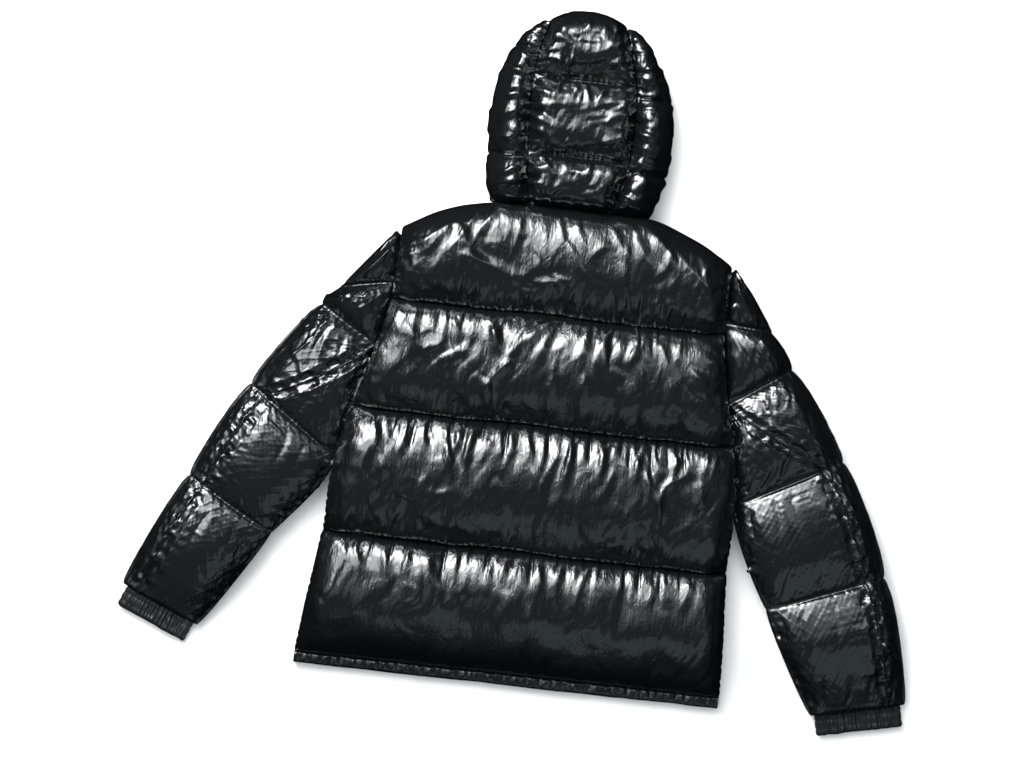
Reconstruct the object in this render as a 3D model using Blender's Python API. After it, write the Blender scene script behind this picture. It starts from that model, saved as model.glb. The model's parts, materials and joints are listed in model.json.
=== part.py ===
"""A hooded puffer jacket, laid flat on its front with its back up and its zip closed.

Metres, +Z up. +Y runs from the hem to the hood, and +X to the wearer's right.
The jacket is built from the panels that a maker would cut and sew:
  back, front_left, front_right       quilted body panels
  hem_back, hem_left, hem_right       narrow bound hem
  sleeve_*_upper, sleeve_*_under      two-piece sleeves, seamed along the back of the arm
  cuff_left, cuff_right               elastic cuffs
  hood_centre, hood_left, hood_right  three-piece hood
  zip_tape_*, zip_chain, zip_slider, zip_pull, zip_box   the front closure
Every padded panel is a wall: its outer face swells between the stitch lines, and its inner face lies on the
plane where the back of the jacket rests on the front. Under a stitch line the wall thins to the sewn layers.
"""

from collections import namedtuple
import math

import bmesh
import bpy
from mathutils import Vector

# ---- layers of the laid jacket (metres)
MID = 0.028  # height of the plane between the fronts below and the back above
HEM_MID = 0.011  # the same plane at the hem and at the cuffs, where the jacket sinks to the surface
GAP = 0.0003  # clearance at a seam
SLIT = GAP / 2  # half the clearance between the two layers
STITCHED = 0.003  # thickness of the wall where it is stitched through
BACK_RISE = 0.012  # how far a stitch line of the back stands above the middle plane
BACK_LOFT = 0.034  # how far a back baffle swells above its stitch lines
FRONT_RISE = 0.009
FRONT_LOFT = 0.026

# ---- body
HEM_Y = 0.017  # top of the bound hem
ARMPIT_Y = 0.275
SHOULDER_Y = 0.630
NECK_Y = 0.684
NECK_HALF = 0.112
STITCH_YS = (0.195, 0.375, 0.533)  # stitch lines across the body, from the hem up
LEAN = 0.031  # sideways drift of the centreline for each metre towards the hood, as it was laid
LEAN_START = -0.008
ZIP_HALF = 0.009  # half the width left between the two fronts for the zip

BodySide = namedtuple("BodySide", "y half")
BODY_SIDE = (
    BodySide(0.000, 0.307),
    BodySide(0.100, 0.297),
    BodySide(0.200, 0.288),
    BodySide(0.275, 0.287),
    BodySide(0.375, 0.271),
    BodySide(0.450, 0.252),
    BodySide(0.533, 0.237),
    BodySide(0.630, 0.235),
)
Shoulder = namedtuple("Shoulder", "half y")
SHOULDER_LINE = (
    Shoulder(0.000, 0.684),
    Shoulder(0.100, 0.684),
    Shoulder(0.132, 0.680),
    Shoulder(0.188, 0.660),
    Shoulder(0.235, 0.632),
)
SHOULDER_TILT = 0.003  # how much higher the left shoulder was laid, and how much lower the right

# ---- sleeves: one row for each stitch line, from the shoulder tip to the cuff.
# The outer end lies on the outline of the arm, the inner end on the armhole (inner_x is None) or on the
# inseam, and seam is the share of the way from outer to inner where the back-arm seam crosses the line.
Station = namedtuple("Station", "outer_x outer_y inner_x inner_y seam")
SLEEVE_LEFT = (
    Station(-0.232, 0.629, None, 0.622, 1.00),
    Station(-0.303, 0.541, None, 0.556, 1.00),
    Station(-0.327, 0.513, None, 0.462, 1.00),
    Station(-0.414, 0.390, None, 0.298, 0.17),
    Station(-0.487, 0.251, -0.364, 0.181, 0.18),
    Station(-0.567, 0.085, -0.456, 0.038, 0.20),
)
SLEEVE_RIGHT = (
    Station(0.254, 0.627, None, 0.620, 1.00),
    Station(0.314, 0.543, None, 0.548, 1.00),
    Station(0.349, 0.492, None, 0.433, 1.00),
    Station(0.435, 0.370, None, 0.291, 0.17),
    Station(0.511, 0.213, 0.350, 0.150, 0.18),
    Station(0.563, 0.035, 0.431, 0.005, 0.20),
)
FIRST_UNDER = 2  # station where the under sleeve begins
ARMPIT_STATION = 3
SLEEVE_RISE = 0.009
SLEEVE_LOFT = 0.027
SLEEVE_BULGE = 0.007  # how far the outline swells between two stitch lines
CUFF_LENGTH = 0.031
CUFF_HEIGHT = 0.0135
CUFF_WALL = 0.005
CUFF_INSET = 0.005  # how much narrower the elastic draws the cuff on each side

# ---- hood
HOOD_BASE_Y = NECK_Y + GAP
HOOD_TOP_Y = 0.968
HOOD_MID = 0.032
HOOD_RISE = 0.011
HOOD_LOFT = 0.036
HOOD_STITCH_YS = (0.758, 0.866)  # stitch lines across the centre panel
HOOD_LEFT_STITCH_YS = (0.752, 0.908)
HOOD_RIGHT_STITCH_YS = (0.744, 0.850)
HOOD_SEAM_FULL = 0.3  # share of the loft that is left along the seams
FOREHEAD_Y = 0.914  # edge of the centre panel where it turns under, above the face opening
HoodRow = namedtuple("HoodRow", "y x half seam brim")
HOOD_ROWS = (
    HoodRow(0.684, 0.009, 0.112, 0.058, 0.005),
    HoodRow(0.720, 0.010, 0.123, 0.066, 0.030),
    HoodRow(0.760, 0.013, 0.128, 0.072, 0.052),
    HoodRow(0.820, 0.012, 0.129, 0.075, 0.062),
    HoodRow(0.860, 0.011, 0.122, 0.074, 0.061),
    HoodRow(0.900, 0.008, 0.106, 0.068, 0.058),
    HoodRow(0.930, 0.008, 0.085, 0.060, 0.056),
    HoodRow(0.948, 0.007, 0.065, 0.055, 0.055),
)
CROWN_HALF = 0.055  # half the width of the centre panel where it turns over the crown
CROWN_DROP = 0.020  # how much lower its corners are than the top of the hood
FOLD_WALL = 0.010  # thickness of a panel where it turns round an outline

# ---- zip, all on the side that faces down
ZIP_TOP_Y = 0.676
TAPE = 0.0012
CHAIN_HALF = 0.003
CHAIN = 0.0024
ZIP_BOX_LENGTH = 0.011
CHAIN_START = ZIP_BOX_LENGTH + 0.001 + GAP
SLIDER_HALF = 0.0048
SLIDER_LENGTH = 0.013
SLIDER_PLATE = 0.0022
SLIDER_Y = 0.655
BRIDGE_REACH = 0.0042
BRIDGE_WIRE = 0.0009
PULL_HALF = 0.004
PULL_LENGTH = 0.034
PULL_THICK = 0.0016
PULL_HOLE = 0.0085
PULL_BAR = 0.0018

# ---- how finely a baffle and a width are divided
BAFFLE_STEPS = (0.0, 0.07, 0.24, 0.5, 0.76, 0.93)
HEAD_STEPS = (0.0, 0.12, 0.5, 0.88)
BACK_US = (-1.0, -0.97, -0.89, -0.74, -0.5, -0.17, 0.17, 0.5, 0.74, 0.89, 0.97, 1.0)
FRONT_US = (0.0, 0.06, 0.22, 0.55, 0.82, 0.94, 1.0)
ACROSS = (0.0, 0.08, 0.28, 0.6, 0.86, 0.97, 1.0)

NYLON = ("shell_nylon", (0.012, 0.012, 0.013), 0.28, 0.0)
ELASTIC = ("cuff_elastic", (0.010, 0.010, 0.011), 0.55, 0.0)
TAPE_CLOTH = ("zip_tape", (0.012, 0.012, 0.012), 0.8, 0.0)
BLACK_METAL = ("zip_metal", (0.02, 0.02, 0.02), 0.35, 1.0)


# ---------------------------------------------------------------- small curves
def smooth(t):
    t = min(1.0, max(0.0, t))
    return t * t * (3 - 2 * t)


def through(rows, x):
    """A smooth curve through the (x, value) rows, read at x."""
    xs = [r[0] for r in rows]
    ys = [r[1] for r in rows]
    i = max(0, min(len(xs) - 2, sum(x > a for a in xs) - 1))

    def slope(k):
        a, b = max(0, k - 1), min(len(xs) - 1, k + 1)
        return (ys[b] - ys[a]) / (xs[b] - xs[a])

    h = xs[i + 1] - xs[i]
    t = min(1.0, max(0.0, (x - xs[i]) / h))
    return (
        (2 * t**3 - 3 * t**2 + 1) * ys[i]
        + (t**3 - 2 * t**2 + t) * h * slope(i)
        + (3 * t**2 - 2 * t**3) * ys[i + 1]
        + (t**3 - t**2) * h * slope(i + 1)
    )


def swell(t):
    """Height of a baffle across its width, 0 at both stitch lines and 1 in the middle."""
    return max(0.0, 1 - abs(2 * t - 1) ** 2.4) ** 0.6


def shoulder_edge(distance, reach):
    """0 on an edge, rising to 1 at that reach from it, as a rounded shoulder."""
    s = min(1.0, max(0.0, distance / reach))
    return max(0.0, 1 - (1 - s) ** 2.2) ** 0.6


# ---------------------------------------------------------------- meshes
def finish(name, mesh, finish_of):
    slot, colour, roughness, metallic = finish_of
    material = bpy.data.materials.get(slot)
    if material is None:
        material = bpy.data.materials.new(slot)
        material.use_nodes = True
        shader = material.node_tree.nodes["Principled BSDF"]
        shader.inputs["Base Color"].default_value = (*colour, 1.0)
        shader.inputs["Roughness"].default_value = roughness
        shader.inputs["Metallic"].default_value = metallic
    mesh.materials.append(material)
    mesh.shade_smooth()
    obj = bpy.data.objects.new(name, mesh)
    jacket.objects.link(obj)
    return obj


def wall(name, outer, inner, finish_of, closed=False):
    """A closed wall between two grids of points: rows of the same length, joined along their rims.
    closed joins the last column to the first, as round a tube."""
    bm = bmesh.new()
    faces = []
    grids = [[[bm.verts.new(p) for p in row] for row in grid] for grid in (outer, inner)]
    rows, columns = len(outer), len(outer[0])
    across = [(c, (c + 1) % columns) for c in range(columns if closed else columns - 1)]
    for grid in grids:
        for r in range(rows - 1):
            for a, b in across:
                faces.append((grid[r][a], grid[r][b], grid[r + 1][b], grid[r + 1][a]))
    for r in (0, rows - 1):
        for a, b in across:
            faces.append((grids[0][r][a], grids[0][r][b], grids[1][r][b], grids[1][r][a]))
    if not closed:
        for c in (0, columns - 1):
            for r in range(rows - 1):
                faces.append((grids[0][r][c], grids[0][r + 1][c], grids[1][r + 1][c], grids[1][r][c]))
    for corners in faces:
        bm.faces.new(corners)
    bmesh.ops.recalc_face_normals(bm, faces=bm.faces)
    if bm.calc_volume(signed=True) < 0:
        bmesh.ops.reverse_faces(bm, faces=bm.faces)
    mesh = bpy.data.meshes.new(name)
    bm.to_mesh(mesh)
    bm.free()
    return finish(name, mesh, finish_of)


def block(name, size, centre, finish_of, bevel=0.0):
    """A box with that size and centre, its edges rounded."""
    bm = bmesh.new()
    bmesh.ops.create_cube(bm, size=1.0)
    bmesh.ops.scale(bm, vec=size, verts=bm.verts)
    if bevel:
        bmesh.ops.bevel(bm, geom=bm.edges, offset=bevel, segments=2, affect="EDGES", profile=0.5)
    bmesh.ops.translate(bm, vec=centre, verts=bm.verts)
    mesh = bpy.data.meshes.new(name)
    bm.to_mesh(mesh)
    bm.free()
    return finish(name, mesh, finish_of)


def cut_or_join(obj, other, operation):
    """Applies a Boolean with the other object, which is then removed."""
    modifier = obj.modifiers.new(operation.title(), "BOOLEAN")
    modifier.operation = operation
    modifier.object = other
    graph = bpy.context.evaluated_depsgraph_get()
    mesh = bpy.data.meshes.new_from_object(obj.evaluated_get(graph))
    obj.modifiers.remove(modifier)
    obj.data = mesh
    bpy.data.objects.remove(other)


# ---------------------------------------------------------------- body
def body_centre(y):
    return LEAN_START + LEAN * y


def body_half(y):
    return through(BODY_SIDE, y)


def middle_of_body(y):
    """The plane between the layers sinks towards the hem."""
    return HEM_MID + (MID - HEM_MID) * smooth((y - HEM_Y + 0.01) / 0.11)


def armhole_share(y):
    """1 along the armhole, where the edge is held up by the sleeve, and 0 along the open outline."""
    return smooth((y - ARMPIT_Y + 0.01) / 0.05) * (1 - smooth((y - SHOULDER_Y + 0.05) / 0.05))


def body_rows():
    """(baffle, share of the way up it) of every row, from the hem to the neck."""
    baffles = len(STITCH_YS) + 1
    rows = [(b, t) for b in range(baffles) for t in BAFFLE_STEPS]
    return rows + [(baffles - 1, 1.0)]


def body_point(u, baffle, t):
    """Plan position of the point at share u of the half width, and t of the way up a baffle."""
    low = HEM_Y + GAP if baffle == 0 else STITCH_YS[baffle - 1]
    if baffle < len(STITCH_YS):
        y = low + (STITCH_YS[baffle] - low) * t
        return body_centre(y) + u * body_half(y), y, y
    side_y = low + (SHOULDER_Y - low) * t
    half = body_half(side_y)
    tilt = SHOULDER_TILT * u * smooth((abs(u) * half - NECK_HALF) / 0.05)
    top = min(NECK_Y, through(SHOULDER_LINE, abs(u) * half) - tilt)
    y = low + (top - low) * t
    return body_centre(y) + u * half, y, side_y


def body_shape(u, baffle, t, side_y, inner_edge):
    """(rise, swell) of the wall: 1 where a stitch line stands at full height, and where a baffle is full."""
    half = body_half(side_y)
    to_side = (1 - abs(u)) * half
    hold = armhole_share(side_y)
    rise = hold + (1 - hold) * smooth(to_side / 0.035)
    full = swell(t) * shoulder_edge(to_side, 0.055)
    if baffle == len(STITCH_YS):
        open_top = 1 - smooth((NECK_HALF + 0.02 - abs(u) * half) / 0.03)
        rise *= 1 - open_top * smooth((t - 0.75) / 0.25)
    if baffle == 0:
        rise *= 0.35 + 0.65 * smooth(t / 0.5)
    if inner_edge:
        to_zip = abs(u) * half - ZIP_HALF
        full *= shoulder_edge(to_zip, 0.035)
    return rise, full


def build_back():
    outer, inner = [], []
    for baffle, t in body_rows():
        top_row, bottom_row = [], []
        for u in BACK_US:
            x, y, side_y = body_point(u, baffle, t)
            x -= math.copysign(GAP, u) if abs(u) == 1 else 0
            rise, full = body_shape(u, baffle, t, side_y, False)
            base = middle_of_body(side_y) + SLIT
            bottom_row.append(Vector((x, y, base + BACK_RISE * rise * (1 - full))))
            top_row.append(Vector((x, y, base + STITCHED + BACK_RISE * rise + BACK_LOFT * full)))
        outer.append(top_row)
        inner.append(bottom_row)
    return wall("back", outer, inner, NYLON)


def front_layer(x, y, side_y, rise, full):
    """The outer and inner point of a front: its swollen face is pressed flat where the jacket rests."""
    middle = middle_of_body(side_y) - SLIT
    stitched = FRONT_RISE * rise * min(1.0, (middle - STITCHED) / (FRONT_RISE + 0.003))
    low = max(0.0, middle - STITCHED - stitched - FRONT_LOFT * full)
    return Vector((x, y, low)), Vector((x, y, middle - stitched * (1 - full)))


def build_front(side, name):
    outer, inner = [], []
    for baffle, t in body_rows():
        low_row, high_row = [], []
        for share in FRONT_US:
            half = body_half(body_point(0.0, baffle, t)[2])
            u = side * (ZIP_HALF + share * (half - ZIP_HALF)) / half
            x, y, side_y = body_point(u, baffle, t)
            x -= side * GAP if share == 1 else 0
            rise, full = body_shape(u, baffle, t, side_y, True)
            low, high = front_layer(x, y, side_y, rise, full)
            low_row.append(low)
            high_row.append(high)
        outer.append(low_row)
        inner.append(high_row)
    return wall(name, outer, inner, NYLON)


def build_hem(name, start, end, upper):
    """A narrow bound strip along the hem, of the back or of one front."""
    outer, inner = [], []
    steps = 12 if upper else 6
    for y, puff in ((0.0, 0.55), (0.35 * HEM_Y, 1.0), (0.75 * HEM_Y, 1.0), (HEM_Y, 0.6)):
        outer_row, inner_row = [], []
        for k in range(steps + 1):
            x = start + (end - start) * k / steps
            middle = middle_of_body(HEM_Y)
            sign = 1 if upper else -1
            inner_row.append(Vector((body_centre(y) + x, y, middle + sign * SLIT)))
            face = middle + sign * (SLIT + (0.0055 if upper else middle - SLIT) * puff)
            outer_row.append(Vector((body_centre(y) + x, y, face)))
        outer.append(outer_row)
        inner.append(inner_row)
    return wall(name, outer, inner, NYLON)


# ---------------------------------------------------------------- sleeves
def sleeve_rows(stations):
    """(station number, share of the way to the next) of every row, from the shoulder tip to the cuff."""
    rows = []
    for k in range(len(stations) - 1):
        rows += [(k, t) for t in (HEAD_STEPS if k < 2 else BAFFLE_STEPS)]
    return rows + [(len(stations) - 2, 1.0)]


def sleeve_ends(stations, side, k, t):
    """Plan position of the outer and the inner end of a row, and the seam's share between them."""
    where = k + t
    column = lambda values: through(list(enumerate(values)), where)
    outer = Vector((column([s.outer_x for s in stations]), column([s.outer_y for s in stations])))
    inner_y = column([s.inner_y for s in stations])
    if where <= ARMPIT_STATION:
        inner = Vector((body_centre(inner_y) + side * (body_half(inner_y) + GAP), inner_y))
    else:
        xs = [body_centre(s.inner_y) + side * body_half(s.inner_y) if s.inner_x is None else s.inner_x
              for s in stations]
        inner = Vector((column(xs), inner_y))
    along = (inner - outer).normalized()
    outer -= along * SLEEVE_BULGE * swell(t)
    if where > ARMPIT_STATION:
        inner += along * SLEEVE_BULGE * 0.6 * swell(t)
    a, b = stations[k].seam, stations[k + 1].seam
    return outer, inner, a + (b - a) * t


def sleeve_middle(stations, where):
    """The plane between the layers sinks towards the cuff."""
    return MID + (HEM_MID - MID) * smooth((where - (len(stations) - 2) - 0.3) / 0.7)


def sleeve_shape(stations, k, t, share, length, seam):
    """(rise, swell) of the wall at that share of the way from the outer end to the inner end."""
    where = k + t
    to_outer, to_inner = share * length, (1 - share) * length
    hold = 1 - smooth((where - ARMPIT_STATION + 0.25) / 0.25)
    if k == 0:
        hold *= smooth(t / 0.4)
    rise = smooth(to_outer / 0.03) * (hold + (1 - hold) * smooth(to_inner / 0.03))
    reach = min(0.045, length * 0.45)
    full = swell(t) * shoulder_edge(to_outer, reach) * shoulder_edge(to_inner, reach)
    if k == 0:
        full *= 0.8
    if seam < 1:
        full *= 0.35 + 0.65 * smooth(abs(share - seam) * length / 0.022)
    return rise, full


def upper_layer(middle, rise, full, extra_rise, loft):
    return (
        middle + SLIT + STITCHED + extra_rise * rise + loft * full,
        middle + SLIT + extra_rise * rise * (1 - full),
    )


def lower_layer(middle, rise, full):
    stitched = SLEEVE_RISE * rise * min(1.0, max(0.0, middle - SLIT - STITCHED) / (SLEEVE_RISE + 0.003))
    return (
        max(0.0, middle - SLIT - STITCHED - stitched - FRONT_LOFT * full),
        middle - SLIT - stitched * (1 - full),
    )


def sleeve_row(stations, side, k, t):
    """What every column of a row needs: a function from (share, layer) to its (outer, inner) points."""
    outer_end, inner_end, seam = sleeve_ends(stations, side, k, t)
    length = (inner_end - outer_end).length
    middle = sleeve_middle(stations, k + t)
    fold = min(FOLD_WALL / length, 0.4)

    def at(share, layer):
        rise, full = sleeve_shape(stations, k, t, share, length, seam if layer > 0 else 1.0)
        if layer > 0:
            face, lining = upper_layer(middle, rise, full, SLEEVE_RISE, SLEEVE_LOFT)
        else:
            face, lining = lower_layer(middle, rise, full)
        place = outer_end.lerp(inner_end, share)
        inside = outer_end.lerp(inner_end, fold + (1 - fold) * share)
        return Vector((*place, face)), Vector((*inside, lining))

    edge = (Vector((*outer_end, middle)), Vector((*outer_end.lerp(inner_end, fold), middle)))
    return at, edge, seam, length


def build_sleeve_upper(stations, side, name):
    """The upper sleeve starts at the back-arm seam, turns round the outline and covers the whole underside."""
    outer, inner = [], []
    for k, t in sleeve_rows(stations):
        at, edge, seam, length = sleeve_row(stations, side, k, t)
        start = seam if seam == 1 else seam - GAP / length
        pairs = [at(start * share, 1) for share in reversed(ACROSS[1:])]
        pairs.append(edge)
        pairs += [at(share, -1) for share in ACROSS[1:]]
        outer.append([p[0] for p in pairs])
        inner.append([p[1] for p in pairs])
    return wall(name, outer, inner, NYLON)


def build_sleeve_under(stations, side, name):
    """The under sleeve lies between the back-arm seam and the inseam."""
    outer, inner = [], []
    for k, t in sleeve_rows(stations):
        if k < FIRST_UNDER or (k == FIRST_UNDER and t < HEAD_STEPS[1]):
            continue
        at, _, seam, length = sleeve_row(stations, side, k, t)
        start = seam + GAP / length
        pairs = [at(start + (1 - start) * share, 1) for share in ACROSS]
        outer.append([p[0] for p in pairs])
        inner.append([p[1] for p in pairs])
    return wall(name, outer, inner, NYLON)


def build_cuff(stations, side, name):
    """A flattened elastic tube, open at the hand."""
    outer_end, inner_end, _ = sleeve_ends(stations, side, len(stations) - 2, 1.0)
    across = (inner_end - outer_end).normalized()
    along = Vector((across.y, -across.x)) * (1 if across.y * side > 0 or across.x * side < 0 else -1)
    if along.y > 0:
        along = -along
    half = (inner_end - outer_end).length / 2 - CUFF_INSET
    centre = (outer_end + inner_end) / 2
    outer, inner = [], []
    for reach in (GAP, CUFF_LENGTH / 2, CUFF_LENGTH):
        rings = ([], [])
        for j in range(20):
            angle = 2 * math.pi * j / 20
            c, s = math.cos(angle), math.sin(angle)
            sweep = math.copysign(abs(c) ** 0.7, c)
            lift = math.copysign(abs(s) ** 0.7, s)
            for ring, inset in ((rings[0], 0.0), (rings[1], CUFF_WALL)):
                place = centre + across * sweep * (half - inset) + along * reach
                ring.append(Vector((*place, CUFF_HEIGHT / 2 + lift * (CUFF_HEIGHT / 2 - inset))))
        outer.append(rings[0])
        inner.append(rings[1])
    return wall(name, outer, inner, ELASTIC, closed=True)


# ---------------------------------------------------------------- hood
def hood_value(column, y):
    return through([(row.y, getattr(row, column)) for row in HOOD_ROWS], y)


def hood_x(y):
    return hood_value("x", min(y, HOOD_ROWS[-1].y))


def hood_middle(y):
    return MID + (HOOD_MID - MID) * smooth((y - NECK_Y) / 0.06)


def hood_outline_y(x):
    """Where the centre panel turns over the crown."""
    return HOOD_TOP_Y - CROWN_DROP * (abs(x) / CROWN_HALF) ** 2.2


def hood_baffles(stitch_ys, top):
    edges = (HOOD_BASE_Y, *stitch_ys, top)
    rows = [(edges[b], edges[b + 1], t) for b in range(len(edges) - 1) for t in HEAD_STEPS]
    return rows + [(edges[-2], edges[-1], 1.0)]


def hood_upper(x, y, full, seam_distance, edge_distance):
    rise = smooth(edge_distance / 0.03)
    full = HOOD_SEAM_FULL + (full - HOOD_SEAM_FULL) * smooth(seam_distance / 0.024)
    full *= shoulder_edge(edge_distance, 0.05) * smooth((y - HOOD_BASE_Y) / 0.015)
    face, lining = upper_layer(hood_middle(y), rise, full, HOOD_RISE, HOOD_LOFT)
    return Vector((x, y, face)), Vector((x, y, lining))


def hood_lower(x, y, full):
    middle = hood_middle(y) - SLIT
    face = max(0.0, middle - STITCHED - 0.006 - 0.034 * full)
    return Vector((x, y, face)), Vector((x, y, middle - 0.006 * (1 - full)))


def build_hood_centre():
    """The strip from the neck over the crown to the forehead, turned under at the top."""
    shares = (-1.0, -0.9, -0.6, -0.25, 0.25, 0.6, 0.9, 1.0)
    outer, inner = [], []
    for low, high, t in hood_baffles(HOOD_STITCH_YS, HOOD_TOP_Y):
        pairs = []
        last = high == HOOD_TOP_Y
        for share in shares:
            y = low + (high - low) * t
            half = hood_value("seam", min(y, HOOD_ROWS[-1].y)) - GAP
            x = share * half
            if last:
                y = low + (hood_outline_y(x) - low) * t
            distance = (1 - abs(share)) * half
            edge = hood_outline_y(x) - y if last else 1.0
            full = swell(t) if not last else swell(t * 0.5)
            face, lining = hood_upper(hood_x(y) + x, y, full, distance, edge)
            if last:
                lining.y -= FOLD_WALL * t
            pairs.append((face, lining))
        if last and t == 1.0:
            pairs = [
                (Vector((p.x, p.y, HOOD_MID)), Vector((p.x, p.y - FOLD_WALL, HOOD_MID)))
                for p, _ in pairs
            ]
        outer.append([p[0] for p in pairs])
        inner.append([p[1] for p in pairs])
    for t in (0.2, 0.5, 0.8, 1.0):
        pairs = []
        for share in shares:
            x = share * (CROWN_HALF - GAP)
            top = hood_outline_y(x)
            y = top + (FOREHEAD_Y - top) * t
            full = 0.75 if t < 1 else 0.25
            face, lining = hood_lower(hood_x(y) + x, y, full * (0.4 if abs(share) == 1 else 1))
            lining.y -= FOLD_WALL * (1 - t)
            pairs.append((face, lining))
        outer.append([p[0] for p in pairs])
        inner.append([p[1] for p in pairs])
    return wall("hood_centre", outer, inner, NYLON)


def build_hood_side(side, name):
    """A side of the hood: from its seam with the centre panel, round the outline, to the face opening."""
    outer, inner = [], []
    stitch_ys = HOOD_LEFT_STITCH_YS if side < 0 else HOOD_RIGHT_STITCH_YS
    for low, high, t in hood_baffles(stitch_ys, HOOD_ROWS[-1].y):
        y = low + (high - low) * t
        half, seam, brim = (hood_value(c, y) for c in ("half", "seam", "brim"))
        half = max(half, seam + 0.006)
        fold = min(FOLD_WALL, (half - seam) * 0.5)
        pairs = []
        for share in (0.0, 0.2, 0.5, 0.8, 0.95):
            x = seam + (half - seam) * share + (3 * GAP if share == 0 else 0)
            face, lining = hood_upper(side * x, y, swell(t), (half - seam) * share, half - x)
            lining.x -= side * fold * share
            pairs.append((face, lining))
        pairs.append((
            Vector((side * half, y, hood_middle(y))),
            Vector((side * (half - fold), y, hood_middle(y))),
        ))
        brim = min(brim, half - fold - 0.003)
        for share in (0.1, 0.4, 0.8, 1.0):
            x = half + (brim - half) * share
            full = swell(t) * (0.45 if share == 1 else 0.9)
            if share == 0.1:
                full *= 0.7
            face, lining = hood_lower(side * x, y, full)
            lining.x -= side * fold * (1 - share)
            pairs.append((face, lining))
        lean = Vector((hood_x(y), 0, 0))
        outer.append([p[0] + lean for p in pairs])
        inner.append([p[1] + lean for p in pairs])
    return wall(name, outer, inner, NYLON)


# ---------------------------------------------------------------- zip
def zip_x(y):
    return body_centre(y)


def zip_face(y):
    """Height of the zip's tapes: level with the stitched edges of the fronts."""
    middle = middle_of_body(y) - SLIT
    return middle - FRONT_RISE * min(1.0, (middle - STITCHED) / (FRONT_RISE + 0.003)) - STITCHED / 2


def zip_strip(name, across, top, thickness, finish_of, start=0.0006):
    """A strip along the front opening, between two distances from the centreline."""
    outer, inner = [], []
    ys = [0.0006] + [CHAIN_START + (ZIP_TOP_Y - CHAIN_START) * k / 15 for k in range(16)]
    ys = [y for y in ys if y >= start]
    for y in ys:
        height = zip_face(max(y, 0.03)) + top
        outer.append([Vector((zip_x(y) + x, y, height - thickness)) for x in across])
        inner.append([Vector((zip_x(y) + x, y, height)) for x in across])
    return wall(name, outer, inner, finish_of)


def build_zip():
    for side, name in ((-1, "zip_tape_left"), (1, "zip_tape_right")):
        across = sorted((side * 0.0004, side * (ZIP_HALF - GAP)))
        zip_strip(name, across, TAPE / 2, TAPE, TAPE_CLOTH)
    chain_top = -TAPE / 2 - GAP
    zip_strip("zip_chain", (-CHAIN_HALF, 0.0, CHAIN_HALF), chain_top, CHAIN, BLACK_METAL, CHAIN_START)

    plate_top = zip_face(SLIDER_Y) + chain_top - CHAIN - GAP
    x = zip_x(SLIDER_Y)
    slider = block(
        "zip_slider",
        (2 * SLIDER_HALF, SLIDER_LENGTH, SLIDER_PLATE),
        (x, SLIDER_Y, plate_top - SLIDER_PLATE / 2),
        BLACK_METAL,
        bevel=0.0006,
    )
    plate_low = plate_top - SLIDER_PLATE
    bridge = bpy.data.curves.new("bridge", "CURVE")
    bridge.dimensions = "3D"
    bridge.bevel_depth = BRIDGE_WIRE
    bridge.bevel_resolution = 1
    bridge.use_fill_caps = True
    path = bridge.splines.new("POLY")
    path.points.add(6)
    for k, point in enumerate(path.points):
        angle = math.pi * k / 6
        lift = math.sin(angle) * 0.0046 - 0.0008
        point.co = (x, SLIDER_Y - math.cos(angle) * BRIDGE_REACH, plate_low - lift, 1.0)
    arch = bpy.data.objects.new("bridge", bridge)
    jacket.objects.link(arch)
    bpy.context.view_layer.update()
    mesh = bpy.data.meshes.new_from_object(arch.evaluated_get(bpy.context.evaluated_depsgraph_get()))
    bm = bmesh.new()
    bm.from_mesh(mesh)
    bmesh.ops.remove_doubles(bm, verts=bm.verts, dist=1e-6)
    bm.to_mesh(mesh)
    bm.free()
    solid_arch = bpy.data.objects.new("bridge_solid", mesh)
    jacket.objects.link(solid_arch)
    bpy.data.objects.remove(arch)
    cut_or_join(slider, solid_arch, "UNION")

    pivot = Vector((x, SLIDER_Y, plate_low - PULL_THICK / 2 - GAP))
    build_pull(pivot)
    y = 0.001 + ZIP_BOX_LENGTH / 2
    block(
        "zip_box",
        (2 * CHAIN_HALF + 0.002, ZIP_BOX_LENGTH, CHAIN),
        (zip_x(y), y, zip_face(0.03) + chain_top - CHAIN / 2),
        BLACK_METAL,
        bevel=0.0004,
    )
    return pivot


def build_pull(pivot):
    """A flat tab whose end bar lies under the slider's bridge. It turns about that bar, along X."""
    pull = block(
        "zip_pull",
        (2 * PULL_HALF, PULL_LENGTH, PULL_THICK),
        (0, PULL_BAR / 2 - PULL_LENGTH / 2, 0),
        BLACK_METAL,
        bevel=0.0005,
    )
    hole = block(
        "pull_hole",
        (0.0032, PULL_HOLE, 4 * PULL_THICK),
        (0, -PULL_BAR / 2 - PULL_HOLE / 2, 0),
        BLACK_METAL,
    )
    cut_or_join(pull, hole, "DIFFERENCE")
    pull.location = pivot
    # it hangs until its end all but touches the surface that the jacket lies on
    drop = pivot.z - PULL_THICK / 2 - GAP
    pull.rotation_euler = (math.asin(drop / (PULL_LENGTH - PULL_BAR / 2)), 0, 0)
    return pull


# ---------------------------------------------------------------- the jacket
def centre_on_surface():
    """Moves the jacket so that the middle of its box is over the origin and it rests on Z = 0."""
    bpy.context.view_layer.update()
    corners = [obj.matrix_world @ Vector(c) for obj in jacket.objects for c in obj.bound_box]
    low = Vector([min(c[k] for c in corners) for k in range(3)])
    high = Vector([max(c[k] for c in corners) for k in range(3)])
    shift = Vector((-(low.x + high.x) / 2, -(low.y + high.y) / 2, -low.z))
    for obj in jacket.objects:
        obj.location += shift
    return shift


for leftover in list(bpy.data.objects):
    bpy.data.objects.remove(leftover)
jacket = bpy.data.collections.new("puffer_jacket")
bpy.context.scene.collection.children.link(jacket)

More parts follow.
